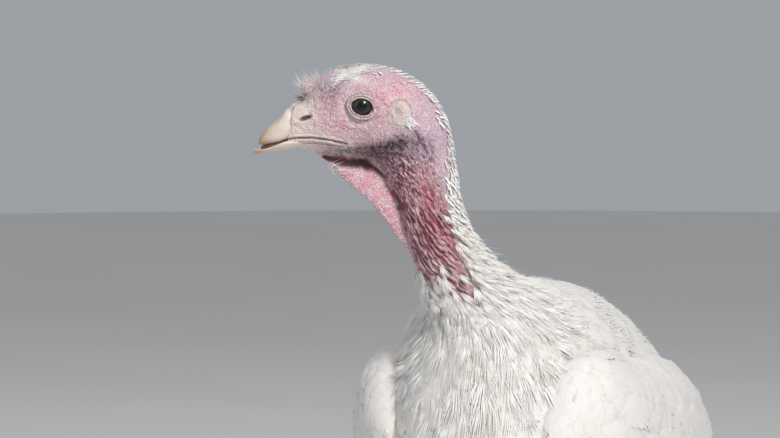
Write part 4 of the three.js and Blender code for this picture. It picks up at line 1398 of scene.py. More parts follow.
def fill_feather(nodes, given):
    """White vane: fine slanting barbs, a pale shaft, a faint cream stain, and greyer down with painted shade
    towards the root.
    """
    along, across = nodes.attribute("along"), nodes.attribute("across")
    barb, tone = nodes.attribute("barb"), nodes.attribute("tone")
    spread = nodes.times(nodes.math("ABSOLUTE", across), given["Streak"])
    barbs = nodes.noise(given["Barbs"], 3.0, 0.65, place=nodes.laid(barb, spread, nodes.times(tone, 90.0)))
    clouds = nodes.noise(38.0, 4.0, 0.6)
    stain = nodes.times(nodes.ranged(clouds, 0.5, 0.78), given["Stained"])
    stain = nodes.math("ADD", stain, nodes.times(nodes.ranged(tone, 0.7, 1.0), 0.22), clamp=True)
    colour = nodes.over(
        given["White"],
        (stain, given["Cream"]),
        (nodes.ranged(barbs, 0.3, 0.62, 0.16, 0.0), given["Shade"]),
        # greyer down and painted shade deep in the coat, towards the root
        (nodes.ranged(along, 0.0, 0.65, 0.25, 0.0), given["Shade"]),
        (nodes.ranged(nodes.math("ABSOLUTE", across), 0.03, 0.075, given["Shaft"], 0.0), given["Cream"]),
    )
    return {"Colour": colour, "Height": barbs}


def feather_material(name, colours, white, barbs=1.6, streak=1.2, shaft=0.1):
    """White plumage of one kind."""

    def fill(nodes):
        inputs = {
            "White": white, "Cream": colours.cream, "Shade": colours.shade, "Barbs": barbs,
            "Streak": streak, "Stained": 0.35, "Shaft": shaft,
        }
        vane = placed_group(nodes, "Feather vane", inputs)
        return {"Base Color": vane["Colour"], "Normal": nodes.bump(vane["Height"], 0.0003, 0.6)}

    return surface(
        name, fill, Roughness=0.62, Specular_IOR_Level=0.25, Sheen_Weight=0.12, Sheen_Roughness=0.5,
        Sheen_Tint=(1.0, 0.98, 0.95, 1.0),
    )


# ---- The coat ----
# places along the body, and at each the length, half width and spacing of its feathers
NECK_LOCKS = {"places": [9.5, 11, 13, 15, 17, 18], "length": [3.0, 4.6, 6.5, 9, 15, 18],
              "half": [0.9, 1.3, 1.9, 2.7, 4.4, 5.4], "spacing": [1.5, 1.3, 1.35, 1.6, 2.3, 3.3]}
TRUNK_SPANS = {"breast": (15.9, 19.8), "back": (19.8, 23), "rump": (23, 25.6)}
BODY_PLUMES = {"places": [15.3, 16.5, 17, 18, 19, 20, 22, 24, 26],
               "length": [11, 15, 20, 29, 37, 44, 50, 54, 50],
               "half": [3.4, 4.8, 6.5, 10, 13, 15.5, 17, 17, 14],
               "spacing": [4.2, 5.2, 6.4, 9, 11, 12.3, 13, 13, 11.5]}


def at_place(along, kind, measure):
    return np.interp(along, kind["places"], kind[measure])


def coat_depth(along):
    return np.interp(along, np.arange(BODY_END + 1), COAT_DEPTH)


def inside_wing(points):
    """Whether points lie inside a folded wing, drawn in by a few millimetres."""
    table = WING["left"].section(np.linspace(0, WING["left"].end, 200))
    x, y, z = np.abs(points[:, 0]), points[:, 1], points[:, 2]
    middle_x, middle_z, half, top, bottom = (np.interp(y, table[:, 1], table[:, k]) for k in (0, 2, 5, 6, 7))
    tall = np.where(z > middle_z, top, bottom)
    share = np.hypot((x - middle_x) / np.maximum(half - 5, 1), (z - middle_z) / np.maximum(tall - 14, 1))
    return (share < 1) & (y > table[0, 1] + 36) & (y < table[-1, 1] - 130)


def trunk_roots(span, seed, closer=1.0):
    """Roots spread over the trunk, leaving out what the wings cover."""
    roots = scatter(BODY, span, (BODY_PLUMES["places"], BODY_PLUMES["spacing"]), seed, closer=closer)
    return roots.only(~inside_wing(BODY.points(roots.along, roots.around, -4)))


def body_roots(span, seed):
    """Sized roots of the trunk's own feathers."""
    roots = trunk_roots(span, seed)
    length, half = (at_place(roots.along, BODY_PLUMES, key) for key in ("length", "half"))
    return roots.sized(length, half, 0.9 * coat_depth(roots.along) + 0.3, 0.3)


def down_roots(span, seed):
    """Sized roots of the loose downy tufts that veil the edges of the trunk's feathers."""
    roots = trunk_roots(span, seed, 0.52)
    length = 0.5 * at_place(roots.along, BODY_PLUMES, "length")
    return roots.sized(length, 0.3 * length, 3.0, 1.0, swing=16, vary=0.2)


def feathered_neck(along, around):
    """How thickly feathers grow on the neck, from 0 to 1: up its back, and in front at its foot."""
    turn = from_top(around)
    places = [9.6, 10.6, 11.7, 12.4, 13.4, 14.8, 15.5, 16]
    back = np.interp(along, places, [0, 0.5, 0.95, 1.2, 1.35, 1.78, 1.95, 2.25])
    front = np.interp(along, [14.2, 14.8, 15.5, 16], [3.4, 2.85, 2.5, 2.3])
    behind = 1 - ramp(turn, back - 0.3, back + 0.25)
    before = ramp(turn, front - 0.12, front + 0.12)
    stray = 0.14 * ramp(along, 12.6, 14.8) * ramp(turn, 1.5, 2.2)
    return np.maximum.reduce([behind, before, stray, ramp(along, 15.8, 16.1)])


def neck_roots(span, seed):
    """Sized roots of the short soft feathers of the neck."""
    roots = scatter(BODY, span, (NECK_LOCKS["places"], NECK_LOCKS["spacing"]), seed)
    roots.only(roots.rng.uniform(0.05, 0.95, len(roots.along)) < feathered_neck(roots.along, roots.around))
    length, half = (at_place(roots.along, NECK_LOCKS, key) for key in ("length", "half"))
    lift = length * (0.08 + 0.3 * roots.rng.uniform(0, 1, len(length)) ** 3)
    return roots.sized(length, half, 0.9 * coat_depth(roots.along) + 0.2, lift, swing=14)


def thigh_roots(side, seed):
    """Sized roots of the feathers of one thigh, smaller towards the hock."""
    roots = scatter(THIGH[side], (0.3, 4.75), ([0, 2, 4, 5], [11, 9, 5, 3]), seed)
    length = np.interp(roots.along, [0, 2, 4, 4.8], [36, 32, 15, 8])
    return roots.sized(length, 0.34 * length, np.interp(roots.along, [0, 4, 5], [4, 3, 1.2]), 0.3)


def wing_covert_roots(side, seed):
    """Sized roots of the small coverts over the front and shoulder of one wing."""
    roots = scatter(WING[side], (0.05, 5.1), ([0, 1, 2, 3, 5], [2.4, 3.4, 6.5, 9.5, 12.5]), seed)
    turn = np.where(roots.around < -1.2, roots.around + TAU, roots.around)
    roots.only((roots.along < 3.8) | ((turn > -0.75) & (turn < 3.6)))
    length = np.interp(roots.along, [0, 1, 1.5, 2, 3, 5], [7, 10, 15, 21, 32, 46])
    lift = 0.3 + 2.2 * roots.rng.uniform(0, 1, len(length)) ** 2 * ramp(length, 10, 30)
    roots.sized(length, 0.36 * length, 3.0, lift, swing=9)
    lining = scatter(WING[side], (5.1, 8.6), ([0], [13]), seed + 60)
    return roots.joined(lining.sized(46, 16, 4.0, -2.5, swing=6))


def row_of_quills(form, places, turns, length, half, depth, lift, swing, seed):
    """A row of long feathers, each rooted at its own place and lying over the next."""
    count = len(turns)
    roots = Roots(form, np.broadcast_to(places, count), turns, seed)
    roots.sized(length, half, depth, lift, swing=1.2, vary=0.045)
    roots.depth, roots.lift = np.broadcast_to(depth, count) * 1.0, np.broadcast_to(lift, count) * 1.0
    roots.swing = roots.swing + np.radians(np.broadcast_to(swing, count))
    return roots


def wisp_roots(seed):
    """Roots of the few long bare shafts that stand out from the back of the neck's foot."""
    rng = np.random.default_rng(seed)
    roots = Roots(BODY, rng.uniform(14.2, 15.8, 26), rng.normal(0.1, 0.5, 26), seed + 1)
    return roots.sized(14, 0.09, 0.5, 7, swing=30, vary=0.3)


def wing_quill_roots(side, seed):
    """The greater coverts, secondaries and primaries of one folded wing, the uppermost lying outermost."""
    form = WING[side]
    share = np.linspace(0, 1, 13)
    outer = share[:7]
    primaries = row_of_quills(
        form, 7.1 + 0.3 * outer, 1.35 + 1.3 * outer * 2, 150 - 40 * outer * 2, 13, 6, 0.0 - 2 * outer, 0, seed
    )
    secondaries = row_of_quills(
        form, 5.15 + 0.1 * share, 0.15 + 2.5 * share, 184 - 72 * share, 19, 5 + share, 2.2 - 3 * share, 0,
        seed + 1,
    )
    share = np.linspace(0, 1, 12)
    greater = row_of_quills(form, 5.6 - 1.5 * share, 2.85 * share, 84 - 14 * share, 13.5, 4, 1.2, 3, seed + 2)
    middle = row_of_quills(form, 5.0 - 1.3 * share, 2.9 * share, 62 - 10 * share, 12.5, 4, 1.6, 3, seed + 3)
    return primaries.joined(secondaries, greater, middle)


def tail_quill_roots(seed):
    """The long tail feathers, the middle pair on top."""
    order = np.array(sorted(range(-8, 9), key=abs)[::-1])
    form = Fan(TAIL_SECTIONS)
    length = 207 - 0.12 * order**2
    lift = 1.5 - 0.42 * np.abs(order)
    return row_of_quills(form, 0.15, order * 2.7, length, 21, 3.0, lift, order * 0.55, seed)


def tail_covert_roots(seed):
    """Sized roots of the soft coverts over and under the root of the tail."""
    roots = scatter(Loft(TAIL_SECTIONS), (0.0, 2.0), ([0], [10.5]), seed)
    length = np.interp(roots.along, [0, 2], [64, 74])
    lift = np.interp(roots.along, [0, 0.6, 1.2, 2], [4.5, 0, -5, -10.5])
    return roots.sized(length, 16.0, 6.0, lift, swing=6, vary=0.2)


# ---- Bristles, hairs and small quills ----
def head_places():
    """Places along and around the left of the head and upper neck, with how far ahead and above each is."""
    along, around = np.meshgrid(np.linspace(0, 14, 281), np.linspace(0, math.pi, 121), indexing="ij")
    along, around = along.ravel(), around.ravel()
    return along, around, in_head(BODY.points(along, around))[:, [0, 2]]


def hairs_on_side(side, spots, spread, seed):
    """Roots scattered round spots on the side of the head, each spot ahead and above of the eye."""
    along, around, flat = head_places()
    roots = Roots(BODY, [], [], seed)
    wanted = np.array(spots) + roots.rng.normal(0, spread, (len(spots), 2))
    nearest = [np.argmin(np.linalg.norm(flat - spot, axis=1)) for spot in wanted]
    roots.along, roots.around = along[nearest], side * around[nearest]
    roots.swing = np.zeros(len(spots))
    return roots


def along_line(line, count, seed):
    """Points at random along a run of straight lines."""
    rng = np.random.default_rng(seed)
    share = np.sort(rng.uniform(0, 1, count)) * (len(line) - 1)
    return np.stack([np.interp(share, np.arange(len(line)), [p[k] for p in line]) for k in (0, 1)], 1)


STUBBLE = [(21, -25.4), (14, -25.6), (5, -25.6), (-6, -24), (-15, -21.5), (-22, -19)]
# the hairs of the head by kind: their line, number, spread, length, half width, lift and swing
HAIRS = {
    "stubble": (STUBBLE, 520, 1.9, 2.3, 0.07, 0.8, 25),
    "jaw": (STUBBLE[:3], 130, 2.4, 2.6, 0.09, 0.9, 25),
    "ear": ([(-20.5, -1), (-22, -3.5), (-23, -7)], 70, 1.8, 3.2, 0.07, 2.6, 30),
    "ear_tuft": ([(-23, -5), (-25, -7.5), (-25.6, -10)], 60, 1.1, 3.8, 0.16, 2.0, 18),
    "lower_lid": ([(5.5, -6), (1, -7.2), (-4, -7), (-8, -5)], 34, 0.4, 1.6, 0.06, 1.9, 20),
    "forehead": ([(31, 6), (26, 12), (20, 17)], 110, 3.0, 2.6, 0.07, 2.2, 40),
    "lore": ([(27, 8), (20, 10), (13, 7), (19, 1)], 260, 3.0, 2.2, 0.05, 0.7, 30),
    "streak": ([(18, 13.5), (8, 17.8), (-1, 21.5)], 330, 1.0, 4.2, 0.18, 0.9, 12),
    "cheek": ([(14, -10), (2, -14), (-10, -13), (-16, 2), (-12, 12)], 260, 4.6, 2.2, 0.055, 0.6, 30),
    "crown": ([(17, 20), (10, 22), (2, 22), (-8, 20.5)], 220, 2.8, 3.2, 0.08, 1.5, 25),
}
DARK_HAIRS = ("stubble", "lower_lid", "lore")
WHITE_HAIRS = ("streak", "ear_tuft")


def bristle_sets(side, seed, scale):
    """Sized roots of the hairs of one side of the head, by kind."""
    made = {}
    for i, (name, (line, count, spread, length, half, lift, swing)) in enumerate(HAIRS.items()):
        roots = hairs_on_side(side, along_line(line, count, seed + i), spread, seed + 20 + i)
        made[name] = roots.sized(length * scale, half, 0.3, lift * scale, swing=swing, vary=0.3)
        if name != "lower_lid":
            flat = in_head(BODY.points(roots.along, roots.around))[:, [0, 2]]
            roots.only(round_the_eye(flat, 4.9) > 1)
    return made


def nape_roots(seed):
    """Roots of the short spiky feathers on the back of the head and neck."""
    roots = scatter(BODY, (4.5, 12.5), ([4.5, 7, 9], [2.7, 2.3, 2.0]), seed, turns=(-1.5, 1.5))
    reach = np.interp(roots.along, [4.5, 7, 9, 12.5], [0.9, 0.75, 0.7, 1.45])
    chance = 1 - ramp(np.abs(roots.around), reach * 0.25, reach)
    roots.only(roots.rng.uniform(0.04, 1.0, len(roots.along)) < chance)
    length = np.interp(roots.along, [4.5, 7, 12.5], [3.2, 4.4, 5.4])
    return roots.sized(length, 0.11 * length, 0.4, 0.38 * length, swing=20, vary=0.3)


def chin_roots(side, seed):
    """Roots of the small tuft that hangs from the upper end of the dewlap's hem."""
    roots = Roots(dewlap_loft(), [], [], seed)
    roots.along = roots.rng.uniform(0.75, 1.2, 26)
    roots.around = math.pi + side * np.abs(roots.rng.normal(0.1, 0.25, 26))
    roots.swing = np.zeros(26)
    return roots.sized(4.2, 0.1, 0.3, 2.6, swing=25, vary=0.3)


def snood_bristles(seed, low, count):
    """Stiff bristles that stand up and forward from the snood, or lie dark under its tip when low is 1."""
    rng = np.random.default_rng(seed)
    parts, maps = [], []
    template = spike()
    for _ in range(count):
        share = rng.uniform(0, 1)
        above = rng.uniform(-2.0, 3.0) * (1 - low) - 3.4 * low - 2 * share
        root = np.array([24 + 9.5 * share, rng.normal(0, 2.6), 9 + above])
        forward = rng.uniform(-0.1, 1.2)
        aside = rng.normal(0, 0.6) + 0.2 * root[1]
        aim = np.array([forward, aside, rng.uniform(0.3, 1.3) - 0.9 * low])
        aim = aim / np.linalg.norm(aim) * rng.uniform(5.0, 14.0) * (1 - 0.45 * low)
        across = unit(np.cross(aim, [0.2, 1, 0.1])) * 0.085
        third = unit(np.cross(aim, across)) * 0.085
        x, y, z = template.points.T
        bent = root + np.outer(y, aim) + np.outer(x, across) + np.outer(z, third)
        bent += np.outer(y * y, (0.6, 0, -0.5))
        parts.append((head_point(bent), template.faces))
        maps.append(np.stack([0.9 * share + 0.0015 * x, 0.5 + 0.08 * root[1] + 0.003 * y], 1))
    points, faces = merged(parts)
    return points, faces, np.clip(np.concatenate(maps), 0, 1)[faces.ravel()]


# ---- Legs and claws ----
HOCK = (60, 119, 128)
ANKLE = (62, 89, 12)
FOOT_MIDDLE = (62, 85)
PAD = {"reach": 17, "half": 13, "height": 15}
SHANK_SECTIONS = [  # how far from hock to ankle, half width, half depth
    (-0.04, 9, 10), (0.08, 9, 10.4), (0.26, 6.6, 8), (0.6, 6.2, 7.4), (0.84, 7.4, 7.8), (1, 8.6, 8.4),
]
SHANK_TILT = 104
TOES = {  # degrees outwards of ahead, length to the claw, half width and number of joints
    "inner": (32, 52, 6.2, 2), "middle": (-3, 75, 6.6, 3), "outer": (-37, 58, 6, 3), "hind": (165, 27, 5, 1),
}
CLAW_LENGTH = 13
SOLE_CUT = 0.7


def scutes(run, turn, pitch, seed):
    """Overlapping plates: the rise of the surface, and how near each point is to the edge of its plate."""
    laid = np.stack([run, turn * 3, 0 * run], 1)
    share = (run / pitch + 0.22 * np.cos(turn) + 0.12 * noise(laid, 4, seed)) % 1.0
    edge = np.minimum(share, 1 - share)
    return 0.55 * (1 - share) * ramp(share, 0, 0.12), 1 - ramp(edge, 0.02, 0.11)


def pebbles(run, across, pitch):
    """Small round scales in staggered rows: their rise, and how near each point is to a groove."""
    row = np.floor(run / pitch)
    x = (across / pitch + 0.5 * (row % 2)) % 1.0 - 0.5
    y = (run / pitch) % 1.0 - 0.5
    dome = np.clip(1 - (2.1 * np.hypot(x, y)) ** 2, 0, 1)
    return 0.42 * dome, 1 - ramp(dome, 0.05, 0.45)


def scaled_form(loft, rows, count, girth, plates, seed):
    """A limb from a loft, with broad plates where plates(turn) is 1 and pebbled skin elsewhere. girth is the
    pitch of the plates, the radius that lays out the pebbles and the pitch of the pebbles."""
    along, around, points, normal = loft.grid(rows, count)
    run = loft.run(along, 121)
    broad = plates(around)
    plate, edge = scutes(run, around, girth[0], seed)
    small, groove = pebbles(run, around * girth[1], girth[2])
    rise = broad * plate + (1 - broad) * small + 0.12 * noise(points, 1.1, seed)
    groove = broad * edge + (1 - broad) * groove
    points = points + normal * (rise - 0.35)[:, None]
    points[:, 2] = np.maximum(points[:, 2], 0)
    return tube(np.split(points, rows)), np.concatenate([groove, [0, 0]])


def shank_plates(turn):
    """Where the shank has broad plates: down its front and its back."""
    return ramp(np.cos(turn), 0.25, 0.5) + 0.8 * ramp(-np.cos(turn), 0.5, 0.75)


def toe_plates(turn):
    """Where a toe has broad plates: along its top."""
    return ramp(np.cos(turn), 0.35, 0.6)


def shank_loft(side):
    sections = []
    for share, half, deep in SHANK_SECTIONS:
        place = [h + (a - h) * share for h, a in zip(HOCK, ANKLE)]
        place[0] *= side
        sections.append(leg_section(*place, SHANK_TILT, half, deep))
    return Loft(sections)


def on_foot(side, turn, out):
    """The place some way out from a foot's middle."""
    return np.array([side * FOOT_MIDDLE[0], FOOT_MIDDLE[1]]) + out * heading(turn)[:2]


def floor_section(side, turn, shape):
    """A section of what lies on the floor: how far out from the foot's middle, half width and height."""
    out, half, high = shape
    x, y = on_foot(side, turn, out)
    return [x, y, high * 0.45 - SOLE_CUT, turn, 0, half, high * 0.55, high * 0.45, 2.6, 0]


def toe_loft(side, name):
    turn, length, thick, joints = TOES[name]
    shape = [(2, thick, thick * 2.1)]
    for j in range(1, joints + 1):
        share = (j - 0.2) / joints
        girth = thick * (1 - 0.3 * share)
        shape.append((length * (share - 0.2 / joints), girth * 0.88, girth * 1.8))
        shape.append((length * share, girth, girth * 2))
    shape.append((length, thick * 0.5, thick * 1.15))
    return Loft([floor_section(side, side * turn, step) for step in shape])


def pad_loft(side):
    shape = [(PAD["reach"] * s, PAD["half"] * math.sqrt(1.1 - s * s), PAD["height"] * (1 - 0.25 * s * s))
             for s in (-1, -0.6, 0.6, 1)]
    return Loft([floor_section(side, 0, step) for step in shape])


def limb(name, side, material):
    """One bare leg: shank, foot and toes as one scaled surface."""
    parts = [
        scaled_form(shank_loft(side), 220, 96, (6.4, 8, 2.3), shank_plates, 71),
        scaled_form(pad_loft(side), 60, 84, (6.0, 12, 2.2), np.zeros_like, 72),
    ]
    for i, toe in enumerate(TOES):
        rows = int(TOES[toe][1] * 2.2)
        parts.append(scaled_form(toe_loft(side, toe), rows, 60, (3.6, 6, 1.7), toe_plates, 73 + i))
    made = parts[0][0]
    for part, _ in parts[1:]:
        made = combined(made, part, "UNION")
    known = np.concatenate([part[0] for part, _ in parts])
    groove = np.concatenate([g for _, g in parts])
    nearest = nearest_of(known, made[0])
    piece = build(f"leg_{name}", *made, material, values={"groove": groove[nearest]})
    names = ["shank", "foot"] + [f"toe_{toe}" for toe in TOES]
    return finished(piece, [f"{node}_{name}" for node in names])


def claws(name, side, material):
    """The claws of one foot, each arched over and down to its point."""
    for toe, (turn, length, thick, _) in TOES.items():
        sections = []
        for share in (-0.35, 0, 0.3, 0.6, 0.85, 1):
            half = thick * (0.42 - 0.36 * max(share, 0) ** 1.3)
            high = thick * (0.92 - 0.78 * max(share, 0) ** 1.2)
            x, y = on_foot(side, side * turn, length + CLAW_LENGTH * share)
            low = 0.15 + 2.1 * max(0, math.sin(math.pi * np.clip(share, 0, 1))) * (1 - share)
            sections.append([x, y, low + high / 2, side * turn, 0, half, high / 2, high / 2, 2.1, 0.3])
        along, around, points, normal = Loft(sections).grid(44, 32)
        laid = np.stack([3 * np.cos(around), 3 * np.sin(around), along * 0.8], 1)
        points = points + normal * (0.10 * noise(laid, 0.8, 81))[:, None]
        points[:, 2] = np.maximum(points[:, 2], 0)
        values = {
            "along": np.concatenate([np.clip((along - 1) / 4, 0, 1), [0, 1]]),
            "streak": np.concatenate([np.cos(around), [0, 0]]),
        }
        piece = build(f"talon_{toe}_{name}", *tube(np.split(points, 44)), material, values=values)
        finished(piece, [f"claw_{toe}_{name}"])


def scale_material(colours):
    """Dry scaled skin, dusty in its grooves."""

    def fill(nodes):
        groove = nodes.attribute("groove")
        grain = placed_group(nodes, "Skin grain", {"Scale": 900.0, "Pebbles": 0.3})
        clouds = nodes.noise(90.0, 4.0, 0.6)
        height = nodes.add("ShaderNodeSeparateXYZ", {"Vector": nodes.place()}).outputs["Z"]
        low = nodes.times(nodes.ranged(height, 0.004, 0.03, 1, 0), nodes.ranged(clouds, 0.35, 0.6))
        colour = nodes.over(
            colours.scale,
            (nodes.ranged(clouds, 0.35, 0.68), colours.scale_pink),
            (nodes.times(grain["Spots"], 0.3), colours.cere),
            (nodes.times(groove, 0.6), colours.groove),
            (nodes.times(low, 0.45), colours.dust),
        )
        rough = nodes.ranged(groove, 0, 1, 0.48, 0.7)
        return {"Base Color": colour, "Roughness": rough, "Normal": nodes.bump(grain["Height"], 0.0003, 0.5)}

    return surface("leg scales", fill, Specular_IOR_Level=0.4)


EFFECTS = {
    "Skin grain": ({"Scale": "Float", "Pebbles": "Float"}, {"Height": "Float", "Spots": "Float"}, fill_grain),
    "Horn growth": (
        {"Root": "Color", "Tip": "Color"},
        {"Colour": "Color", "Height": "Float", "Roughness": "Float"},
        fill_horn,
    ),
    "Feather vane": (
        {**dict.fromkeys(("White", "Cream", "Shade"), "Color"),
         **dict.fromkeys(("Barbs", "Streak", "Stained", "Shaft"), "Float")},
        {"Colour": "Color", "Height": "Float"},
        fill_feather,
    ),
}


# ---- Settings, operators and panel ----
def colour(name, description, *value):
    """A colour that a user may change."""
    return FloatVectorProperty(
        name=name, description=description, subtype="COLOR", size=3, min=0, max=1, default=value
    )


def number(name, description, value, subtype, **limits):
    """A number that a user may change."""
    return FloatProperty(name=name, description=description, default=value, subtype=subtype, **limits)


def share(name, description, value, low=0.0, high=2.0):
    """A number that scales something."""
    return number(name, description, value, "FACTOR", min=low, max=high)


class TurkeySizes(bpy.types.PropertyGroup):
    """Sizes of the skin and the coat."""

    feather_length: share("Feather length", "Length of every body feather", 1.0, 0.5, 1.3)
    ruffle: share("Ruffle", "How unevenly the feathers lie", 1.0)
    furrows: share("Furrows", "Depth of the furrows of the bare neck", 1.0)
    bristles: share("Bristles", "Length of the hairs and bristles of the head", 1.0)
    eye_radius: number(
        "Eye radius", "Radius of each eyeball", EYE_RADIUS * MM, "DISTANCE", min=0.006, max=0.009
    )


class TurkeyColours(bpy.types.PropertyGroup):
    """Colours of the skin, horn, eyes and feathers."""

    face: colour("Face", "Bare skin of the face", 0.57, 0.43, 0.465)
    flush: colour("Flush", "Skin where it is full of blood", 0.55, 0.25, 0.30)
    vessels: colour("Vessels", "Fine blood vessels and pores", 0.44, 0.10, 0.15)
    lilac: colour("Lilac", "Bluish skin behind the ear and under the jaw", 0.37, 0.28, 0.365)
    # scurf_and_highlight: pale flakes on the skin, and a painted highlight on the neck's ridges
    scurf_and_highlight: colour("Scurf", "Pale flakes on the skin", 0.74, 0.66, 0.67)
    # furrow and bruise: the redder skin at the bottoms of the furrows, with painted shade there
    furrow: colour("Furrow", "Bottoms of the furrows", 0.22, 0.06, 0.08)
    bruise: colour("Bruise", "Bottoms of the furrows under the jaw", 0.18, 0.11, 0.155)
    blood: colour("Blood", "Caruncles and the reddest strands", 0.52, 0.11, 0.12)
    cere: colour("Cere", "Skin at the root of the bill", 0.66, 0.57, 0.53)
    lids: colour("Lids", "Rims of the eyelids", 0.62, 0.51, 0.47)
    ears: colour("Ears", "Skin over the ears", 0.60, 0.51, 0.475)
    under: colour("Under feathers", "Skin and down under the feathers", 0.74, 0.705, 0.68)
    # dark is also painted shade: in slits, creases and hollows, under the snood, under the jaw, behind the
    # ear and on the mouth's lining
    dark: colour("Dark", "Slits of the mouth, nostrils and lids", 0.035, 0.009, 0.008)
    horn_root: colour("Horn root", "Bill and claws at their roots", 0.66, 0.58, 0.51)
    horn_tip: colour("Horn tip", "Bill and claws at their tips", 0.44, 0.30, 0.18)
    claw_root: colour("Claw root", "Claws at their roots", 0.62, 0.52, 0.44)
    claw_tip: colour("Claw tip", "Claws at their tips", 0.36, 0.26, 0.18)
    iris: colour("Iris", "Iris", 0.012, 0.012, 0.015)
    iris_ring: colour("Iris ring", "Fibres and rim of the iris", 0.025, 0.027, 0.033)
    sclera: colour("Sclera", "White of the eye, under the lids", 0.5, 0.45, 0.42)
    white: colour("Neck feather", "White of the neck's feathers and hairs", 0.80, 0.79, 0.775)
    # body: the neck's white made darker, painted shade for the larger feathers of body, wings and tail
    body: colour("Body feather", "White of the larger feathers", 0.70, 0.692, 0.68)
    cream: colour("Feather stain", "Stained edges and shafts of feathers", 0.66, 0.58, 0.46)
    # shade: greyer down and painted shade deep in the coat, at the feathers' roots
    shade: colour("Feather base", "Down and barbs in the depth of the coat", 0.59, 0.57, 0.55)
    stubble: colour("Stubble", "Dark bristles", 0.05, 0.025, 0.028)
    hair: colour("Hair", "Pale hairs of the face", 0.74, 0.70, 0.67)
    scale: colour("Scales", "Scales of the legs", 0.66, 0.47, 0.41)
    scale_pink: colour("Pink scales", "Flushed scales of the legs", 0.64, 0.38, 0.34)
    groove: colour("Grooves", "Grooves between the scales", 0.30, 0.17, 0.13)
    dust: colour("Dust", "Dust on the feet", 0.42, 0.33, 0.25)
    floor: colour("Floor", "Plain floor", 0.80, 0.79, 0.77)
    sky: colour("Surround", "Plain light all round", 0.80, 0.83, 0.88)


class TurkeyStage(bpy.types.PropertyGroup):
    """Camera and lights."""

    view_turn: number("View turn", "How far round from ahead the camera is", math.radians(20), "ANGLE")
    view_pitch: number("View pitch", "How far the camera looks down", math.radians(4.5), "ANGLE")
    view_distance: number("View distance", "From the camera to the left eye", 1.6, "DISTANCE", min=0.5)
    lens: number("Lens", "Focal length", 133, "DISTANCE_CAMERA", min=20)
    key: number("Key light", "Power of the main light", 46, "POWER", min=0)
    fill: number("Fill light", "Power of the soft light", 7, "POWER", min=0)
    rim: number("Rim light", "Power of the light behind", 10, "POWER", min=0)
    surround: share("Surround", "Strength of the light all round", 0.42)


OPTIONS = {"REGISTER", "UNDO"}
DONE = {"FINISHED"}


def settings(context):
    """The sizes and colours that a user has set."""
    return context.scene.turkey_sizes, context.scene.turkey_colours


class TURKEY_OT_skin(bpy.types.Operator):
    """Makes the one skin of head, neck and body, which stands for the solids of flesh"""

    bl_idname = "turkey.skin"
    bl_label = "Skin"
    bl_options = OPTIONS

    def execute(self, context):
        sizes, colours = settings(context)
        surface_parts, facts, kind = skin_surface(sizes.furrows)
        marks = skin_marks(surface_parts[0], facts, kind)
        skin = build("skin", *surface_parts, skin_material(colours), values=marks)
        bare = ("eye_", "upper_", "lower_", "shank_", "foot_", "toe_", "claw_")
        finished(skin, [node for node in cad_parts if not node.startswith(bare)])
        return DONE


class TURKEY_OT_bill(bpy.types.Operator):
    """Makes the horn of the upper and lower bill"""

    bl_idname = "turkey.bill"
    bl_label = "Bill"
    bl_options = OPTIONS

    def execute(self, context):
        colours = context.scene.turkey_colours
        horn = horn_material("bill horn", colours.horn_root, colours.horn_tip)
        bill_half("horn_upper", UPPER_BILL, horn, 51)
        bill_half("horn_lower", LOWER_BILL, horn, 55)
        mouth_lining(colours)
        return DONE


class TURKEY_OT_eyes(bpy.types.Operator):
    """Makes both eyes"""

    bl_idname = "turkey.eyes"
    bl_label = "Eyes"
    bl_options = OPTIONS

    def execute(self, context):
        sizes, colours = settings(context)
        material = eye_material(colours)
        for name, side in SIDES.items():
            eye_globe(name, side, sizes.eye_radius / MM, material)
        return DONE


class TURKEY_OT_bristles(bpy.types.Operator):
    """Makes the hairs, stubble and bristles of the head"""

    bl_idname = "turkey.bristles"
    bl_label = "Bristles"
    bl_options = OPTIONS

    def execute(self, context):
        sizes, colours = settings(context)
        pale = hair_material("pale hairs", colours.hair, colours.cream)
        dark = hair_material("dark bristles", colours.stubble, colours.shade)
        white = hair_material("white hairs", colours.white, colours.white)
        materials = {**dict.fromkeys(DARK_HAIRS, dark), **dict.fromkeys(WHITE_HAIRS, white)}
        for i, (name, side) in enumerate(SIDES.items()):
            for kind, roots in bristle_sets(side, 400 + 50 * i, sizes.bristles).items():
                lay(f"hairs_{kind}_{name}", roots, [spike()], materials.get(kind, pale))
            lay(f"hairs_chin_{name}", chin_roots(side, 460 + i), [spike()], white)
        lay("hairs_nape", nape_roots(480), [spike()], white)
        for name, low, count, material in (("snood", 0, 210, pale), ("under_snood", 1, 260, dark)):
            points, faces, places = snood_bristles(470 + low, low, count)
            bristles = build(f"hairs_{name}", points, faces, material, values={"along": 0.5}, bake_map=places)
            finished(bristles)
        return DONE


class TURKEY_OT_neck(bpy.types.Operator):
    """Makes the short soft feathers of the neck"""

    bl_idname = "turkey.neck"
    bl_label = "Neck feathers"
    bl_options = OPTIONS

    def execute(self, context):
        colours = context.scene.turkey_colours
        material = feather_material("neck feathers", colours, colours.white, barbs=3.0, streak=2.0, shaft=0.0)
        locks = [lock(200 + k, 13, 0.065) for k in range(6)]
        lay("neck_feathers", neck_roots((9.2, 18), 11), locks, material)
        white = hair_material("white hairs", colours.white, colours.white)
        lay("hairs_wisps", wisp_roots(90), [spike()], white)
        return DONE


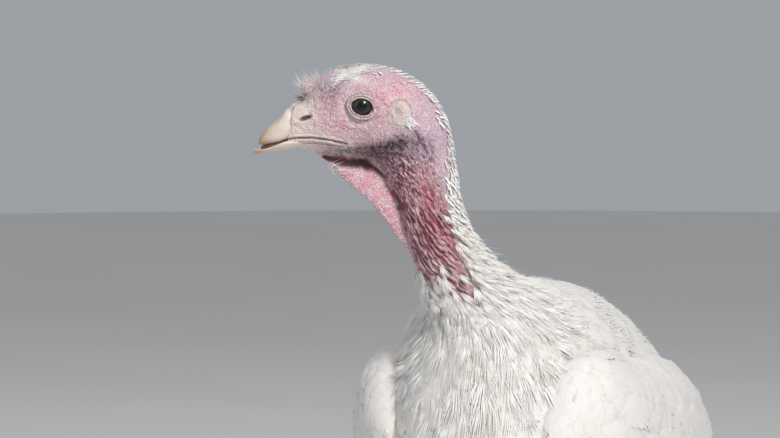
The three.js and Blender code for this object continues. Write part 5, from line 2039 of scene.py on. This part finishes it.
class TURKEY_OT_body(bpy.types.Operator):
    """Makes the plumage of breast, back, rump and thighs"""

    bl_idname = "turkey.body"
    bl_label = "Body plumage"
    bl_options = OPTIONS

    def execute(self, context):
        sizes, colours = settings(context)
        material = feather_material("body feathers", colours, colours.body)
        plumes = [plume(100 + k) for k in range(6)]
        downs = [lock(240 + k, 12, 0.05) for k in range(6)]
        for i, (name, span) in enumerate(TRUNK_SPANS.items()):
            lay(f"{name}_plumage", body_roots(span, 21 + i).scaled(sizes), plumes, material)
            lay(f"{name}_down", down_roots(span, 26 + i).scaled(sizes), downs, material)
        for i, name in enumerate(SIDES):
            lay(f"thigh_plumage_{name}", thigh_roots(name, 31 + i).scaled(sizes), plumes, material)
        return DONE


class TURKEY_OT_wings(bpy.types.Operator):
    """Makes the coverts and quills of both folded wings"""

    bl_idname = "turkey.wings"
    bl_label = "Wings"
    bl_options = OPTIONS

    def execute(self, context):
        sizes, colours = settings(context)
        material = feather_material("wing feathers", colours, colours.body, barbs=1.3, shaft=0.2)
        plumes = [plume(120 + k) for k in range(6)]
        quills = [
            plume(300 + k, 34, ragged=0.12, camber=0.2, tip=0.6, reach=0.1, aspect=8) for k in range(4)
        ]
        for i, name in enumerate(SIDES):
            lay(f"wing_coverts_{name}", wing_covert_roots(name, 41 + i).scaled(sizes), plumes, material)
            lay(f"wing_quills_{name}", wing_quill_roots(name, 51 + 5 * i), quills, material, own_width=0.4)
        return DONE


class TURKEY_OT_tail(bpy.types.Operator):
    """Makes the tail and its coverts"""

    bl_idname = "turkey.tail"
    bl_label = "Tail"
    bl_options = OPTIONS

    def execute(self, context):
        sizes, colours = settings(context)
        material = feather_material("tail feathers", colours, colours.body, barbs=1.3, shaft=0.3)
        plumes = [plume(140 + k) for k in range(6)]
        quills = [
            plume(320 + k, 40, ragged=0.1, camber=0.12, tip=0.5, reach=0.08, aspect=11) for k in range(4)
        ]
        lay("tail_quills", tail_quill_roots(61), quills, material)
        lay("tail_coverts", tail_covert_roots(62).scaled(sizes), plumes, material)
        return DONE


class TURKEY_OT_legs(bpy.types.Operator):
    """Makes the scaled legs and the claws"""

    bl_idname = "turkey.legs"
    bl_label = "Legs"
    bl_options = OPTIONS

    def execute(self, context):
        colours = context.scene.turkey_colours
        scales = scale_material(colours)
        horn = horn_material("claw horn", colours.claw_root, colours.claw_tip)
        for name, side in SIDES.items():
            limb(name, side, scales)
            claws(name, side, horn)
        return DONE


# ---- The stage, in metres ----
FLOOR_RADIUS = 6
LAMP_AIM = (0, -0.2, 0.42)
VIEW_MIDDLE = (0.01555, -0.06274)  # how far right of the left eye and above it the camera aims
SENSOR_WIDTH = 36  # millimetres


def floor_material(colours):
    """Plain matt floor with the faintest mottling."""

    def fill(nodes):
        clouds = nodes.ranged(nodes.noise(3.0, 3.0), 0.3, 0.7, 0.0, 0.04)
        return {"Base Color": nodes.blend(clouds, colours.floor, colours.dust)}

    return surface("floor", fill, Roughness=0.8)


def direction(turn, height):
    """The direction turned from straight ahead of the bird, and raised from level, by some radians."""
    return Vector((math.sin(turn) * math.cos(height), -math.cos(turn) * math.cos(height), math.sin(height)))


def lamp(name, place, size, power, tint=(1, 1, 1)):
    """A square soft light: where it stands is its turn and height in degrees and its distance."""
    turn, height, distance = place
    light = bpy.data.lights.new(name, "AREA")
    light.size, light.energy, light.color = size, power, tint
    piece = bpy.data.objects.new(name, light)
    away = direction(math.radians(turn), math.radians(height))
    piece.location = Vector(LAMP_AIM) + away * distance
    piece.rotation_euler = away.to_track_quat("Z", "Y").to_euler()
    bpy.context.scene.collection.objects.link(piece)


class TURKEY_OT_stage(bpy.types.Operator):
    """Makes the floor, the lights, the surround and the camera"""

    bl_idname = "turkey.stage"
    bl_label = "Stage"
    bl_options = OPTIONS

    def execute(self, context):
        stage, colours = context.scene.turkey_stage, context.scene.turkey_colours
        self.floor(context, colours)
        self.surround(context, stage, colours)
        self.camera(context, stage)
        lamp("key", (46, 38, 2.2), 0.42, stage.key, (1, 0.975, 0.945))
        lamp("fill", (-35, 22, 2.4), 1.6, stage.fill, (0.92, 0.95, 1))
        lamp("rim", (-150, 45, 2.4), 1.0, stage.rim)
        context.scene.view_settings.view_transform = "Standard"
        return DONE

    def floor(self, context, colours):
        mesh = bpy.data.meshes.new("floor")
        turns = np.arange(64) * TAU / 64
        rim = [(FLOOR_RADIUS * math.cos(t), FLOOR_RADIUS * math.sin(t), 0) for t in turns]
        mesh.from_pydata(rim, [], [list(range(len(rim)))])
        mesh.materials.append(floor_material(colours))
        floor = bpy.data.objects.new("floor", mesh)
        context.scene.collection.objects.link(floor)

    def surround(self, context, stage, colours):
        world = bpy.data.worlds.new("surround")
        context.scene.world = world
        world.use_nodes = True
        background = world.node_tree.nodes["Background"]
        background.inputs["Color"].default_value = (*colours.sky, 1)
        background.inputs["Strength"].default_value = stage.surround

    def camera(self, context, stage):
        low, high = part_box("eye_left")
        eye = (Vector(low) + Vector(high)) / 2
        turn = stage.view_turn
        back = direction(turn, stage.view_pitch)
        right = Vector((math.cos(turn), math.sin(turn), 0))
        up = right.cross(-back)
        camera = bpy.data.objects.new("camera", bpy.data.cameras.new("camera"))
        camera.data.lens, camera.data.sensor_width = stage.lens, SENSOR_WIDTH
        camera.location = eye + VIEW_MIDDLE[0] * right + VIEW_MIDDLE[1] * up + back * stage.view_distance
        camera.rotation_euler = back.to_track_quat("Z", "Y").to_euler()
        context.scene.collection.objects.link(camera)
        context.scene.camera = camera


STEPS = ("stage", "skin", "bill", "eyes", "bristles", "neck", "body", "wings", "tail", "legs")


class TURKEY_PT_panel(bpy.types.Panel):
    """Lists the settings and the operators in the order they are used"""

    bl_idname = "TURKEY_PT_panel"
    bl_label = "Turkey"
    bl_space_type = "VIEW_3D"
    bl_region_type = "UI"
    bl_category = "Turkey"

    def draw(self, context):
        for name in SETTINGS:
            holder = getattr(context.scene, name)
            box = self.layout.box()
            for key in holder.__annotations__:
                box.prop(holder, key)
        for step in STEPS:
            self.layout.operator(f"turkey.{step}")


SETTINGS = {"turkey_sizes": TurkeySizes, "turkey_colours": TurkeyColours, "turkey_stage": TurkeyStage}
CLASSES = (
    *SETTINGS.values(), TURKEY_OT_stage, TURKEY_OT_skin, TURKEY_OT_bill, TURKEY_OT_eyes, TURKEY_OT_bristles,
    TURKEY_OT_neck, TURKEY_OT_body, TURKEY_OT_wings, TURKEY_OT_tail, TURKEY_OT_legs, TURKEY_PT_panel,
)


def register():
    for kind in CLASSES:
        bpy.utils.register_class(kind)
    for name, kind in SETTINGS.items():
        setattr(bpy.types.Scene, name, PointerProperty(type=kind))


def unregister():
    for name in SETTINGS:
        delattr(bpy.types.Scene, name)
    for kind in reversed(CLASSES):
        bpy.utils.unregister_class(kind)


def main():
    register()
    for step in STEPS:
        getattr(bpy.ops.turkey, step)()
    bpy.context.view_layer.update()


if __name__ == "__main__":
    main()
